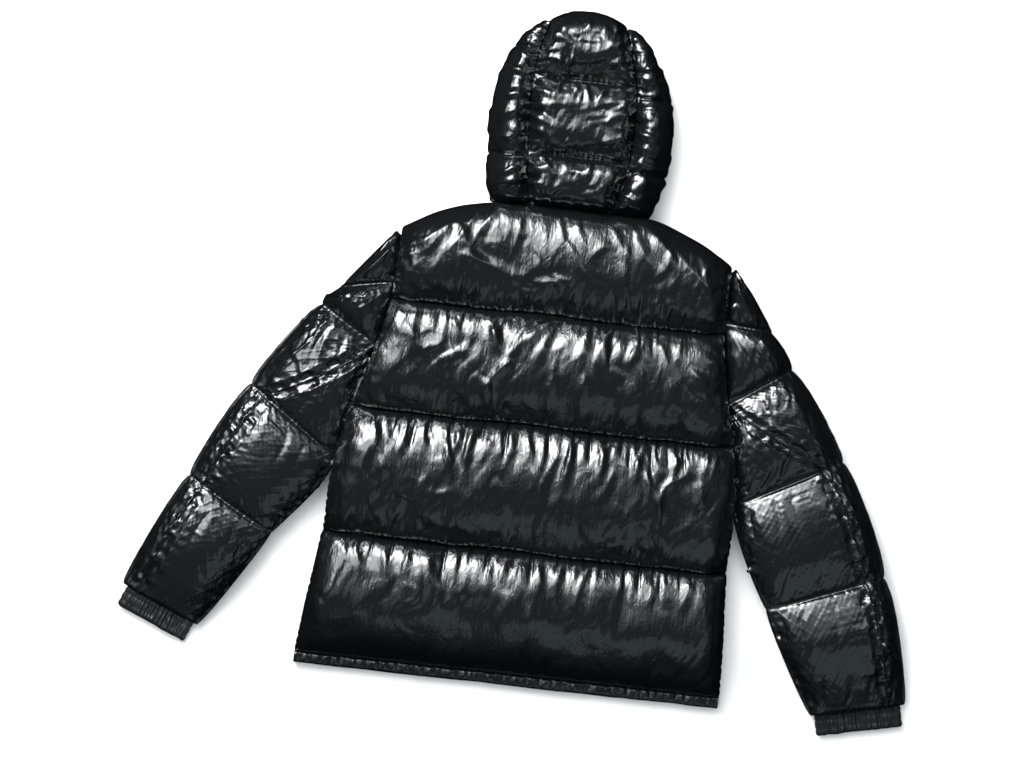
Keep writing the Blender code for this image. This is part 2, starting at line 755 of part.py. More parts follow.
build_back()
build_front(-1, "front_left")
build_front(1, "front_right")
hem_half = body_half(HEM_Y)
build_hem("hem_back", -hem_half, hem_half, True)
build_hem("hem_left", -hem_half, -ZIP_HALF, False)
build_hem("hem_right", ZIP_HALF, hem_half, False)
for side, stations, word in ((-1, SLEEVE_LEFT, "left"), (1, SLEEVE_RIGHT, "right")):
    build_sleeve_upper(stations, side, f"sleeve_{word}_upper")
    build_sleeve_under(stations, side, f"sleeve_{word}_under")
    build_cuff(stations, side, f"cuff_{word}")
    build_hood_side(side, f"hood_{word}")
build_hood_centre()
pull_axis = build_zip()
moved = centre_on_surface()
print("pull axis passes", [round(v, 5) for v in pull_axis + moved], "and the shift was",
      [round(v, 5) for v in moved])
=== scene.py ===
"""The looks of a black hooded puffer jacket laid flat on its front.

Each quilted panel is a fine sheet laid over the shape of its CAD solid, gathered along its stitch lines,
blown up a little and settled as cloth, with the main creases of the real jacket placed one by one.
Metres, +Z up, +Y from the hem to the hood.
"""

import json
import math
from collections import namedtuple

import bmesh
import bpy
import numpy as np
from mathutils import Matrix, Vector

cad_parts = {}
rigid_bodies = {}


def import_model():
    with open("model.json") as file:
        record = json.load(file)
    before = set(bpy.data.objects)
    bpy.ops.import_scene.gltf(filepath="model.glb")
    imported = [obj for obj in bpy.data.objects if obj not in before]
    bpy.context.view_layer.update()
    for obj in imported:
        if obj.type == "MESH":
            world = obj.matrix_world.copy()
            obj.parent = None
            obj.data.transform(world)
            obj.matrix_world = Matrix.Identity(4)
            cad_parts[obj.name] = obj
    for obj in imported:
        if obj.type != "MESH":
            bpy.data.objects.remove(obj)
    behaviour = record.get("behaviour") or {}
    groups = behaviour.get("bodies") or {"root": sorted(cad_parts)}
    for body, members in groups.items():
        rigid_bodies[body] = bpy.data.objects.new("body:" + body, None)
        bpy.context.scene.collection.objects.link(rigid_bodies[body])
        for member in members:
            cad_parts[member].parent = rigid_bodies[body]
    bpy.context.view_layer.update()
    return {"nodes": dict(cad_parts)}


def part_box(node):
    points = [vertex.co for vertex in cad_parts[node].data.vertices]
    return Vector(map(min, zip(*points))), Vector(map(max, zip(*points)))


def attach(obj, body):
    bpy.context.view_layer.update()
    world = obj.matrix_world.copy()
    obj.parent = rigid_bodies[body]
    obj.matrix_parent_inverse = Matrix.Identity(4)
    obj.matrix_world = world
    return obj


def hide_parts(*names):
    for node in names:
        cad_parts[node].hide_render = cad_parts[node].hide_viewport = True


for leftover in list(bpy.data.objects):
    bpy.data.objects.remove(leftover)

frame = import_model()

# ------------------------------------------------------------ the jacket's named sizes, as in the CAD
MID, HEM_MID = 0.028, 0.011
GAP = 0.0003
SLIT = GAP / 2
STITCHED = 0.003
BACK_RISE, BACK_LOFT = 0.012, 0.034
FRONT_RISE, FRONT_LOFT = 0.009, 0.026
HEM_Y, ARMPIT_Y, SHOULDER_Y, NECK_Y, NECK_HALF = 0.017, 0.275, 0.630, 0.684, 0.112
STITCH_YS = (0.195, 0.375, 0.533)
LEAN, LEAN_START = 0.031, -0.008
ZIP_HALF = 0.009
SHOULDER_TILT = 0.003

BodySide = namedtuple("BodySide", "y half")
BODY_SIDE = tuple(BodySide(*row) for row in (
    (0.000, 0.307), (0.100, 0.297), (0.200, 0.288), (0.275, 0.287), (0.375, 0.271), (0.450, 0.252),
    (0.533, 0.237), (0.630, 0.235),
))
Shoulder = namedtuple("Shoulder", "half y")
SHOULDER_LINE = tuple(Shoulder(*row) for row in (
    (0.000, 0.684), (0.100, 0.684), (0.132, 0.680), (0.188, 0.660), (0.235, 0.632),
))
Station = namedtuple("Station", "outer_x outer_y inner_x inner_y seam")
SLEEVE_LEFT = tuple(Station(*row) for row in (
    (-0.232, 0.629, None, 0.622, 1.00), (-0.303, 0.541, None, 0.556, 1.00),
    (-0.327, 0.513, None, 0.462, 1.00), (-0.414, 0.390, None, 0.298, 0.17),
    (-0.487, 0.251, -0.364, 0.181, 0.18), (-0.567, 0.085, -0.456, 0.038, 0.20),
))
SLEEVE_RIGHT = tuple(Station(*row) for row in (
    (0.254, 0.627, None, 0.620, 1.00), (0.314, 0.543, None, 0.548, 1.00),
    (0.349, 0.492, None, 0.433, 1.00), (0.435, 0.370, None, 0.291, 0.17),
    (0.511, 0.213, 0.350, 0.150, 0.18), (0.563, 0.035, 0.431, 0.005, 0.20),
))
FIRST_UNDER, ARMPIT_STATION = 2, 3
SLEEVE_RISE, SLEEVE_LOFT, SLEEVE_BULGE = 0.009, 0.027, 0.007
# how far the roundness of the sleeves and the body goes in from their edges
OUTER_REACH, INNER_REACH, INNER_BANK, BODY_REACH = 0.085, 0.080, 0.075, 0.040
SLEEVE_GATHER = 0.09
OVERHANG = 0.008  # how far a baffle of the back hangs over the stitch line under it
BODY_RUNGS, SLEEVE_RUNGS, HOOD_RUNGS = 0.0030, 0.0024, 0.0026  # heights of the small gathers along a seam
CUFF_LENGTH, CUFF_HEIGHT, CUFF_WALL, CUFF_INSET = 0.031, 0.0135, 0.005, 0.005

HOOD_BASE_Y, HOOD_TOP_Y = NECK_Y + GAP, 0.968
HOOD_MID, HOOD_RISE, HOOD_LOFT = 0.032, 0.011, 0.036
HOOD_STITCH_YS = (0.758, 0.866)
HOOD_SIDE_STITCH_YS = {-1: (0.752, 0.908), 1: (0.744, 0.850)}
HOOD_SEAM_FULL = 0.3
FOREHEAD_Y = 0.914
HoodRow = namedtuple("HoodRow", "y x half seam brim")
HOOD_ROWS = tuple(HoodRow(*row) for row in (
    (0.684, 0.009, 0.112, 0.058, 0.005), (0.720, 0.010, 0.123, 0.066, 0.030),
    (0.760, 0.013, 0.128, 0.072, 0.052), (0.820, 0.012, 0.129, 0.075, 0.062),
    (0.860, 0.011, 0.122, 0.074, 0.061), (0.900, 0.008, 0.106, 0.068, 0.058),
    (0.930, 0.008, 0.085, 0.060, 0.056), (0.948, 0.007, 0.065, 0.055, 0.055),
))
CROWN_HALF, CROWN_DROP = 0.055, 0.020
FOLD_WALL = 0.010
HOOD_CEILING = 0.083  # folds over this height are halved

# grid sizes: each grid of cloth can be halved twice
ROWS, BACK_COLUMNS, FRONT_COLUMNS = 64, 256, 112  # rows are for each baffle
SLEEVE_ROWS = (32, 24, 64, 72, 72)
SLEEVE_OVER, SLEEVE_UNDER, UNDER_SLEEVE_COLUMNS = 56, 64, 84


# ------------------------------------------------------------ small curves, on whole arrays
def smooth(t):
    t = np.clip(t, 0, 1)
    return t * t * (3 - 2 * t)


def through(xs, ys, x):
    """A smooth curve through the points (xs, ys), read at x."""
    xs, ys, x = (np.asarray(v, float) for v in (xs, ys, x))
    n = len(xs)
    low, high = np.maximum(0, np.arange(n) - 1), np.minimum(n - 1, np.arange(n) + 1)
    slope = (ys[high] - ys[low]) / (xs[high] - xs[low])
    i = np.clip(np.searchsorted(xs, x, side="left") - 1, 0, n - 2)
    h = xs[i + 1] - xs[i]
    t = np.clip((x - xs[i]) / h, 0, 1)
    return (
        (2 * t**3 - 3 * t**2 + 1) * ys[i]
        + (t**3 - 2 * t**2 + t) * h * slope[i]
        + (3 * t**2 - 2 * t**3) * ys[i + 1]
        + (t**3 - t**2) * h * slope[i + 1]
    )


def column(rows, name):
    return [getattr(r, name) for r in rows]


def profile(rows, key, name, at):
    """The column name of a table of sizes, read smoothly where the column key is at."""
    return through(column(rows, key), column(rows, name), at)


def swell(t):
    return np.maximum(0, 1 - np.abs(2 * t - 1) ** 2.4) ** 0.6


def within(t, sharp):
    """1 inside a baffle, and 0 on its stitch lines, where t is 0 and 1."""
    return smooth(t * sharp) * smooth((1 - t) * sharp)


def at_height(points, z):
    out = points.copy()
    out[..., 2] = z
    return out


def shoulder_edge(distance, reach):
    s = np.clip(distance / reach, 0, 1)
    return np.maximum(0, 1 - (1 - s) ** 2.2) ** 0.6


def body_centre(y):
    return LEAN_START + LEAN * np.asarray(y, float)


def body_half(y):
    return profile(BODY_SIDE, "y", "half", y)


def middle_of_body(y):
    return HEM_MID + (MID - HEM_MID) * smooth((y - HEM_Y + 0.01) / 0.11)


HEM_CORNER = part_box("hem_back")[0]
SHIFT = np.array((HEM_CORNER[0] - float(body_centre(0) - body_half(HEM_Y)), HEM_CORNER[1], 0.0))


# ------------------------------------------------------------ smooth noise, always the same
def noise(shape, cell, seed, rows_per_cell=None):
    """Smooth noise over a grid, about -1 to 1: one lump every cell columns and rows_per_cell rows."""
    rng = np.random.default_rng(seed)
    rows_per_cell = rows_per_cell or cell
    n, m = (max(2, int(math.ceil(s / c)) + 3) for s, c in zip(shape, (rows_per_cell, cell)))
    coarse = rng.standard_normal((n, m))

    def stretch(values, count, step):
        at = np.arange(count) / step + 0.5
        i = at.astype(int)
        t = smooth(at - i)[:, None]
        i = np.minimum(i, len(values) - 2)
        return values[i] * (1 - t) + values[i + 1] * t

    out = stretch(coarse, shape[0], rows_per_cell)
    return stretch(out.T, shape[1], cell).T


def field(x, y, seed):
    """Smooth noise at any points, about -1 to 1, one lump for each unit of x and y."""
    table = np.random.default_rng(seed).standard_normal((64, 64)) * 0.6
    i, j = np.floor(x).astype(int), np.floor(y).astype(int)
    fx, fy = x - i, y - j
    fx, fy = (f * f * f * (f * (f * 6 - 15) + 10) for f in (fx, fy))
    a, b = i % 64, j % 64
    c, d = (i + 1) % 64, (j + 1) % 64
    low = table[a, b] * (1 - fx) + table[c, b] * fx
    high = table[a, d] * (1 - fx) + table[c, d] * fx
    return low * (1 - fy) + high * fy


def crinkle(x, y, wide, long, turn, seed):
    """Sharp-edged folds of thin coated cloth, about -1 to 1: wide across and long along them, in metres."""
    c, s = math.cos(turn), math.sin(turn)
    along, across = x * s + y * c, x * c - y * s
    bend = 0.9 * field(x / 0.07, y / 0.07, seed + 1) + 0.45 * field(x / 0.03, y / 0.03, seed + 2)
    p, q = across / wide + bend, along / long + 0.6 * field(x / 0.05, y / 0.05, seed + 3)
    ridge = 1 - 2.2 * np.abs(field(p, q, seed + 4))
    valley = 1 - 2.2 * np.abs(field(p * 1.13 + 7, q * 0.9, seed + 5))
    return np.clip(0.6 * ridge - 0.6 * valley, -1.2, 1.2)


Folds = namedtuple("Folds", "height wide long turn")
STITCH_FOLDS = (Folds(0.0017, 0.019, 0.060, 0.15), Folds(0.0007, 0.009, 0.030, -0.1))
OPEN_FOLDS = (Folds(0.0017, 0.036, 0.085, -0.5), Folds(0.0009, 0.018, 0.050, 0.3))
SLEEVE_FOLDS = (Folds(0.0014, 0.026, 0.065, 0), Folds(0.0004, 0.012, 0.030, -0.4))
HOOD_FOLDS = (Folds(0.0013, 0.016, 0.034, 1.3), Folds(0.0007, 0.009, 0.018, 0.3))


def folded(x, y, layers, seed, turn=0.0):
    """The height of layers of folds, in metres."""
    return sum(f.height * crinkle(x, y, f.wide, f.long, turn + f.turn, seed + 10 * k)
               for k, f in enumerate(layers))


# ------------------------------------------------------------ cloth on a grid
def normals(P, outward):
    du = np.empty_like(P)
    dv = np.empty_like(P)
    du[:, 1:-1] = P[:, 2:] - P[:, :-2]
    du[:, 0], du[:, -1] = P[:, 1] - P[:, 0], P[:, -1] - P[:, -2]
    dv[1:-1] = P[2:] - P[:-2]
    dv[0], dv[-1] = P[1] - P[0], P[-1] - P[-2]
    n = np.cross(du, dv)
    n /= np.maximum(np.linalg.norm(n, axis=2, keepdims=True), 1e-12)
    return n * outward


def hold_length(P, W, rest, axis, stiff):
    """Moves neighbours along an axis towards their rest length. W is how free each point is."""
    for parity in (0, 1):
        if axis == 1:
            a, b = P[:, parity:-1:2], P[:, parity + 1 :: 2]
            wa, wb, r = W[:, parity:-1:2], W[:, parity + 1 :: 2], rest[:, parity::2]
        else:
            a, b = P[parity:-1:2], P[parity + 1 :: 2]
            wa, wb, r = W[parity:-1:2], W[parity + 1 :: 2], rest[parity::2]
        d = b - a
        length = np.sqrt((d * d).sum(axis=2)) + 1e-9
        move = (stiff * (length - r) / (length * (wa + wb + 1e-9)))[..., None] * d
        a += move * wa[..., None]
        b -= move * wb[..., None]


def hold_shear(P, W, rest_a, rest_b, stiff):
    for rest, back in ((rest_a, False), (rest_b, True)):
        for parity in (0, 1):
            upper, lower = P[parity + 1 :: 2], P[parity:-1:2]
            wu, wl, r = W[parity + 1 :: 2], W[parity:-1:2], rest[parity::2]
            if back:
                a, b, wa, wb = lower[:, 1:], upper[:, :-1], wl[:, 1:], wu[:, :-1]
            else:
                a, b, wa, wb = lower[:, :-1], upper[:, 1:], wl[:, :-1], wu[:, 1:]
            d = b - a
            length = np.sqrt((d * d).sum(axis=2)) + 1e-9
            move = (stiff * np.maximum(0, length - r) / (length * (wa + wb + 1e-9)))[..., None] * d
            a += 0.5 * move * wa[..., None]
            b -= 0.5 * move * wb[..., None]


def blur(D):
    out = D.copy()
    out[1:-1] = 0.5 * D[1:-1] + 0.25 * (D[2:] + D[:-2])
    inner = out.copy()
    out[:, 1:-1] = 0.5 * inner[:, 1:-1] + 0.25 * (inner[:, 2:] + inner[:, :-2])
    return out


def settle(base, seed_bumps, free, gather_u, gather_v, outward, low, high,
           rounds=(90, 70, 50), push=0.00004, bend=(0.05, 0.03, 0.02), keep=0.006, cap=0.012, side_cap=0.005):
    """Cloth over the base grid. Its rest lengths are the base's, times the gathers, so it buckles into
    folds where it is gathered. low and high bound every point's height."""
    D = seed_bumps.copy()
    for level, (steps, stiff_bend) in enumerate(zip(rounds, bend)):
        s = 2 ** (len(rounds) - 1 - level)
        P0, W = base[::s, ::s].copy(), free[::s, ::s]
        if level == 0:
            d = D[::s, ::s].copy()
        P = P0 + d
        gu = gather_u[::s, ::s][:, :-1]
        gv = gather_v[::s, ::s][:-1]
        rest_u = np.linalg.norm(P0[:, 1:] - P0[:, :-1], axis=2) * gu
        rest_v = np.linalg.norm(P0[1:] - P0[:-1], axis=2) * gv
        around = 0.5 * (gu[:-1] + gu[1:])
        rest_a = np.linalg.norm(P0[1:, 1:] - P0[:-1, :-1], axis=2) * around
        rest_b = np.linalg.norm(P0[1:, :-1] - P0[:-1, 1:], axis=2) * around
        lo, hi = low[::s, ::s], high[::s, ::s]
        w3 = W[..., None]
        for step in range(steps):
            P += normals(P, outward) * (push * s) * w3
            P += keep * (P0 - P) * w3
            hold_length(P, W, rest_u, 1, 0.9)
            hold_length(P, W, rest_v, 0, 0.9)
            hold_shear(P, W, rest_a, rest_b, 0.5)
            moved = P - P0
            moved += stiff_bend * (blur(moved) - moved) * w3
            moved[..., :2] = np.clip(moved[..., :2], -side_cap, side_cap)
            P = P0 + np.clip(moved, -cap, cap)
            P[..., 2] = np.clip(P[..., 2], lo, hi)
        d = P - P0
        if s > 1:
            n, m = (base.shape[0] - 1) // (s // 2) + 1, (base.shape[1] - 1) // (s // 2) + 1
            finer = np.zeros((n, m, 3))
            finer[::2, ::2] = d
            finer[1::2, ::2] = 0.5 * (d[1:] + d[:-1])
            finer[:, 1::2] = 0.5 * (finer[:, 2::2] + finer[:, :-1:2])
            added = D[:: s // 2, :: s // 2]
            rough = blur(blur(added))
            d = finer + (added - rough) * 0.6
    return base + d


# ------------------------------------------------------------ creases placed one by one
# In millimetres of the laid jacket, from the middle of the hem: where a crease starts, at its stitch line or
# seam, and where it runs out, how far its middle bows, its width and its height.
Crease = namedtuple("Crease", "x0 y0 x1 y1 bow width height")


def crease_lift(P, creases):
    """Height in metres that rows of Crease add at the grid's plan positions."""
    x, y = P[..., 0] * 1000, P[..., 1] * 1000
    lift = np.zeros(x.shape)
    for c in (Crease(*row) for row in creases):
        dx, dy = c.x1 - c.x0, c.y1 - c.y0
        length = math.hypot(dx, dy)
        along = ((x - c.x0) * dx + (y - c.y0) * dy) / length**2
        across = ((x - c.x0) * -dy + (y - c.y0) * dx) / length
        across = across - c.bow * 4 * along * (1 - along)
        taper = np.clip(along / 0.25, 0, 1) * np.clip((1 - along) / 0.45, 0, 1)
        width = c.width * (0.6 + 0.6 * np.clip(along, 0, 1))
        ridge = np.exp(-np.abs(across / width) ** 1.2)
        side = 0.35 * np.exp(-(((across - 1.9 * width) / width) ** 2))
        lift += c.height * smooth(taper) * (ridge - side)
    return lift / 1000


# ------------------------------------------------------------ meshes
def add(name, mesh, look, replaced=None):
    """A piece of the jacket's main body, which stands for a CAD node or is extra."""
    mesh.shade_smooth()
    mesh.materials.append(look)
    obj = bpy.data.objects.new(name, mesh)
    bpy.context.scene.collection.objects.link(obj)
    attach(obj, "jacket")
    if replaced:
        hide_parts(replaced)
    return obj


def mesh_from(name, points, faces):
    mesh = bpy.data.meshes.new(name)
    mesh.from_pydata([tuple(p) for p in points], [], faces)
    mesh.validate()
    mesh.update()
    return mesh


def with_faces_outward(mesh):
    bm = bmesh.new()
    bm.from_mesh(mesh)
    bmesh.ops.recalc_face_normals(bm, faces=bm.faces)
    bm.to_mesh(mesh)
    bm.free()
    return mesh


def padded_mesh(name, *parts):
    """A closed pad: its outer face is a grid, and its inner face is strips between the lining's two ends.
    The parts are the grid, then the lining's points beside its first and last column and row."""
    grid, starts, ends, firsts, lasts = (part + SHIFT for part in parts)
    n, m = grid.shape[:2]
    grid = np.concatenate([grid[..., :2], np.maximum(grid[..., 2:], 0)], axis=2)
    points = list(grid.reshape(-1, 3))
    index = np.arange(n * m).reshape(n, m)
    loop = {}

    def lining(i, j):
        if (i, j) not in loop:
            p = starts[i] if j == 0 else ends[i] if j == m - 1 else firsts[j] if i == 0 else lasts[j]
            loop[i, j] = len(points)
            points.append(p)
        return loop[i, j]

    q = index
    faces = np.stack([q[:-1, :-1], q[:-1, 1:], q[1:, 1:], q[1:, :-1]], axis=-1).reshape(-1, 4).tolist()
    for j in range(m - 1):
        faces.append([index[0, j + 1], index[0, j], lining(0, j), lining(0, j + 1)])
        faces.append([index[n - 1, j], index[n - 1, j + 1], lining(n - 1, j + 1), lining(n - 1, j)])
    for i in range(n - 1):
        faces.append([index[i, 0], index[i + 1, 0], lining(i + 1, 0), lining(i, 0)])
        faces.append([index[i + 1, m - 1], index[i, m - 1], lining(i, m - 1), lining(i + 1, m - 1)])
    faces.append([lining(0, j) for j in range(m)] + [lining(1, m - 1), lining(1, 0)])
    for i in range(1, n - 2):
        faces.append([lining(i, 0), lining(i, m - 1), lining(i + 1, m - 1), lining(i + 1, 0)])
    faces.append([lining(n - 2, 0), lining(n - 2, m - 1)] + [lining(n - 1, j) for j in range(m - 1, -1, -1)])
    mesh = mesh_from(name, points, [[int(k) for k in f] for f in faces])
    bm = bmesh.new()
    bm.from_mesh(mesh)
    if bm.calc_volume(signed=True) < 0:
        bmesh.ops.reverse_faces(bm, faces=bm.faces)
    bm.to_mesh(mesh)
    bm.free()
    return mesh


def add_pad(name, look, fill, *parts):
    obj = add(name + "_quilt", padded_mesh(name, *parts), look, name)


# ------------------------------------------------------------ materials
def node(tree, kind, **inputs):
    """A new shader node, its properties and inputs set by name, with _ for a space."""
    n = tree.nodes.new("ShaderNode" + kind)
    for key, value in inputs.items():
        if hasattr(n, key):
            setattr(n, key, value)
        elif isinstance(value, bpy.types.NodeSocket):
            tree.links.new(value, n.inputs[key.replace("_", " ")])
        else:
            n.inputs[key.replace("_", " ")].default_value = value
    return n


def new_material(name, **inputs):
    """A material, its shader with those inputs, and the object's own coordinates."""
    material = bpy.data.materials.new(name)
    material.use_nodes = True
    tree = material.node_tree
    shader = tree.nodes["Principled BSDF"]
    for key, value in inputs.items():
        shader.inputs[key.replace("_", " ")].default_value = value
    return material, tree, shader, node(tree, "TexCoord").outputs["Object"]


def noise_texture(tree, place, scale, detail, **inputs):
    return node(tree, "TexNoise", Vector=place, Scale=scale, Detail=detail, **inputs).outputs["Fac"]


def wave(tree, place, direction):
    return node(tree, "TexWave", Vector=place, Scale=900.0, bands_direction=direction).outputs["Fac"]


def math_node(tree, operation, first, second=0.0):
    """The result of a calculation on a socket and a number or another socket."""
    n = node(tree, "Math", operation=operation)
    tree.links.new(first, n.inputs[0])
    if isinstance(second, float):
        n.inputs[1].default_value = second
    else:
        tree.links.new(second, n.inputs[1])
    return n.outputs["Value"]


def bumped(tree, height, strength, distance, **inputs):
    return node(tree, "Bump", Height=height, Strength=strength, Distance=distance, **inputs).outputs["Normal"]


def nylon(name, colour, roughness, coat, crinkle, weave_height, scale=(1.0, 1.0, 1.0), micro=1.0, turn=0.0):
    """Glossy coated nylon: fine crinkles, drawn lines, a grain, a tight weave, and a gloss that varies from
    patch to patch. micro is the height of the lines and the grain, and turn is the lines' angle."""
    material, tree, shader, place = new_material(
        name, Base_Color=(*colour, 1), IOR=1.58, Coat_Weight=coat, Coat_Roughness=0.05)
    patches = noise_texture(tree, place, 28.0, 3.0)
    gloss = node(tree, "MapRange", Value=patches, From_Min=0.3, From_Max=0.7,
                 To_Min=roughness * 0.8, To_Max=roughness * 1.35)
    tree.links.new(gloss.outputs["Result"], shader.inputs["Roughness"])
    stretched = node(tree, "Mapping", Vector=place, Scale=scale).outputs["Vector"]
    turned = node(tree, "Mapping", Vector=place, Scale=(4.2, 0.7, 2.0), Rotation=(0, 0, turn))
    folds = noise_texture(tree, stretched, 75.0, 2.6, Roughness=0.5, Distortion=0.4)
    ridges = math_node(tree, "ABSOLUTE", math_node(tree, "SUBTRACT", folds, 0.5))
    surface = bumped(tree, ridges, crinkle, 0.004, invert=True)
    lines = noise_texture(tree, turned.outputs["Vector"], 62.0, 1.6, Distortion=0.2)
    surface = bumped(tree, lines, 0.45 * micro, 0.0011, Normal=surface)
    surface = bumped(tree, noise_texture(tree, stretched, 260.0, 3.0), 0.30 * micro, 0.0005, Normal=surface)
    cloth = math_node(tree, "MULTIPLY", wave(tree, place, "X"), wave(tree, place, "Y"))
    surface = bumped(tree, cloth, weave_height, 0.0001, Normal=surface)
    tree.links.new(surface, shader.inputs["Normal"])
    return material


def plain(name, colour, roughness, metallic=0.0, bump=0.2, scale=900.0):
    """A speckled matt or metal surface."""
    material, tree, shader, place = new_material(name, Metallic=metallic)
    speck = noise_texture(tree, place, scale, 3.0)
    tone = node(tree, "MapRange", Value=speck, To_Min=roughness * 0.8, To_Max=roughness * 1.25)
    dye = node(tree, "Mix", data_type="RGBA")
    dye.inputs["A"].default_value = (*(c * 0.7 for c in colour), 1)
    dye.inputs["B"].default_value = (*(c * 1.4 for c in colour), 1)
    tree.links.new(speck, dye.inputs["Factor"])
    tree.links.new(dye.outputs["Result"], shader.inputs["Base Color"])
    tree.links.new(tone.outputs["Result"], shader.inputs["Roughness"])
    tree.links.new(bumped(tree, speck, bump, 0.0003), shader.inputs["Normal"])
    return material


BLACK = (0.0034, 0.0039, 0.0043)
body_nylon = nylon("nylon_body", BLACK, 0.105, 0.40, 0.42, 0.15, scale=(1.5, 0.7, 1.0), micro=1.1)
sleeve_nylon = nylon("nylon_sleeve", BLACK, 0.125, 0.40, 0.16, 0.15, scale=(1.0, 0.8, 1.0), micro=0.45,
                     turn=0.5)
hood_nylon = nylon("nylon_hood", BLACK, 0.105, 0.40, 0.36, 0.15, scale=(1.3, 0.8, 1.0))
cuff_nylon = nylon("nylon_cuff", (0.003, 0.003, 0.0033), 0.36, 0.0, 0.10, 0.25)
tape_cloth = plain("tape_cloth", (0.012, 0.012, 0.012), 0.8, bump=0.6, scale=1500.0)
black_metal = plain("black_metal", (0.03, 0.03, 0.032), 0.32, 1.0, bump=0.1, scale=500.0)
thread = plain("thread", (0.004, 0.004, 0.0045), 0.75, bump=0.5, scale=2500.0)


# ------------------------------------------------------------ body


def body_grid(shares, side, baffle, t):
    """Plan positions for rows at t of the way up each baffle. Shares are of the half width on the back
    (side 0), and from the zip to the side on a front (side -1 or 1)."""
    b, t = baffle[:, None], t[:, None]
    edges = np.array((HEM_Y + GAP, *STITCH_YS, SHOULDER_Y))
    low = edges[b]
    side_y = low + (edges[b + 1] - low) * t
    half = body_half(side_y)
    u = shares[None, :] + 0 * half
    if side:
        u = side * (ZIP_HALF + np.abs(u) * (half - ZIP_HALF)) / half
    tilt = SHOULDER_TILT * u * smooth((np.abs(u) * half - NECK_HALF) / 0.05)
    line = profile(SHOULDER_LINE, "half", "y", np.abs(u) * half)
    top = np.where(b == 3, np.minimum(NECK_Y, line - tilt), edges[b + 1])
    y = low + (top - low) * t
    return body_centre(y) + u * half, y, side_y + 0 * u, half + 0 * u, u


def baffle_rows(count, each):
    baffle = np.append(np.repeat(np.arange(count), each), count - 1)
    t = np.append(np.tile(np.arange(each) / each, count), 1.0)
    return baffle, t


def body_shape(u, b, t, side_y, half, inner_edge):
    """How far the body has risen from its edges, and how filled its baffles are, both from 0 to 1."""
    to_side = (1 - np.abs(u)) * half
    hold = smooth((side_y - ARMPIT_Y + 0.01) / 0.05) * (1 - smooth((side_y - SHOULDER_Y + 0.05) / 0.05))
    rise = hold + (1 - hold) * smooth(to_side / 0.035)
    full = swell(t) * shoulder_edge(to_side, BODY_REACH)
    open_top = 1 - smooth((NECK_HALF + 0.02 - np.abs(u) * half) / 0.03)
    rise = np.where(b == 3, rise * (1 - open_top * smooth((t - 0.75) / 0.25)), rise)
    rise = np.where(b == 0, rise * (0.35 + 0.65 * smooth(t / 0.5)), rise)
    if inner_edge:
        full = full * shoulder_edge(np.abs(u) * half - ZIP_HALF, 0.035)
    return rise, full


Baffle = namedtuple("Baffle", "top_gather bottom_gather folds")
BAFFLES = (  # from the hem up: how much the cloth is drawn up along its stitch lines, and how crumpled it is
    Baffle(0.17, 0.08, 0.8),
    Baffle(0.22, 0.06, 1.4),
    Baffle(0.09, 0.05, 1.3),
    Baffle(0.05, 0.12, 1.3),
)


def near_lines(y, lines):
    return np.min([np.abs(y - line) for line in lines], axis=0)


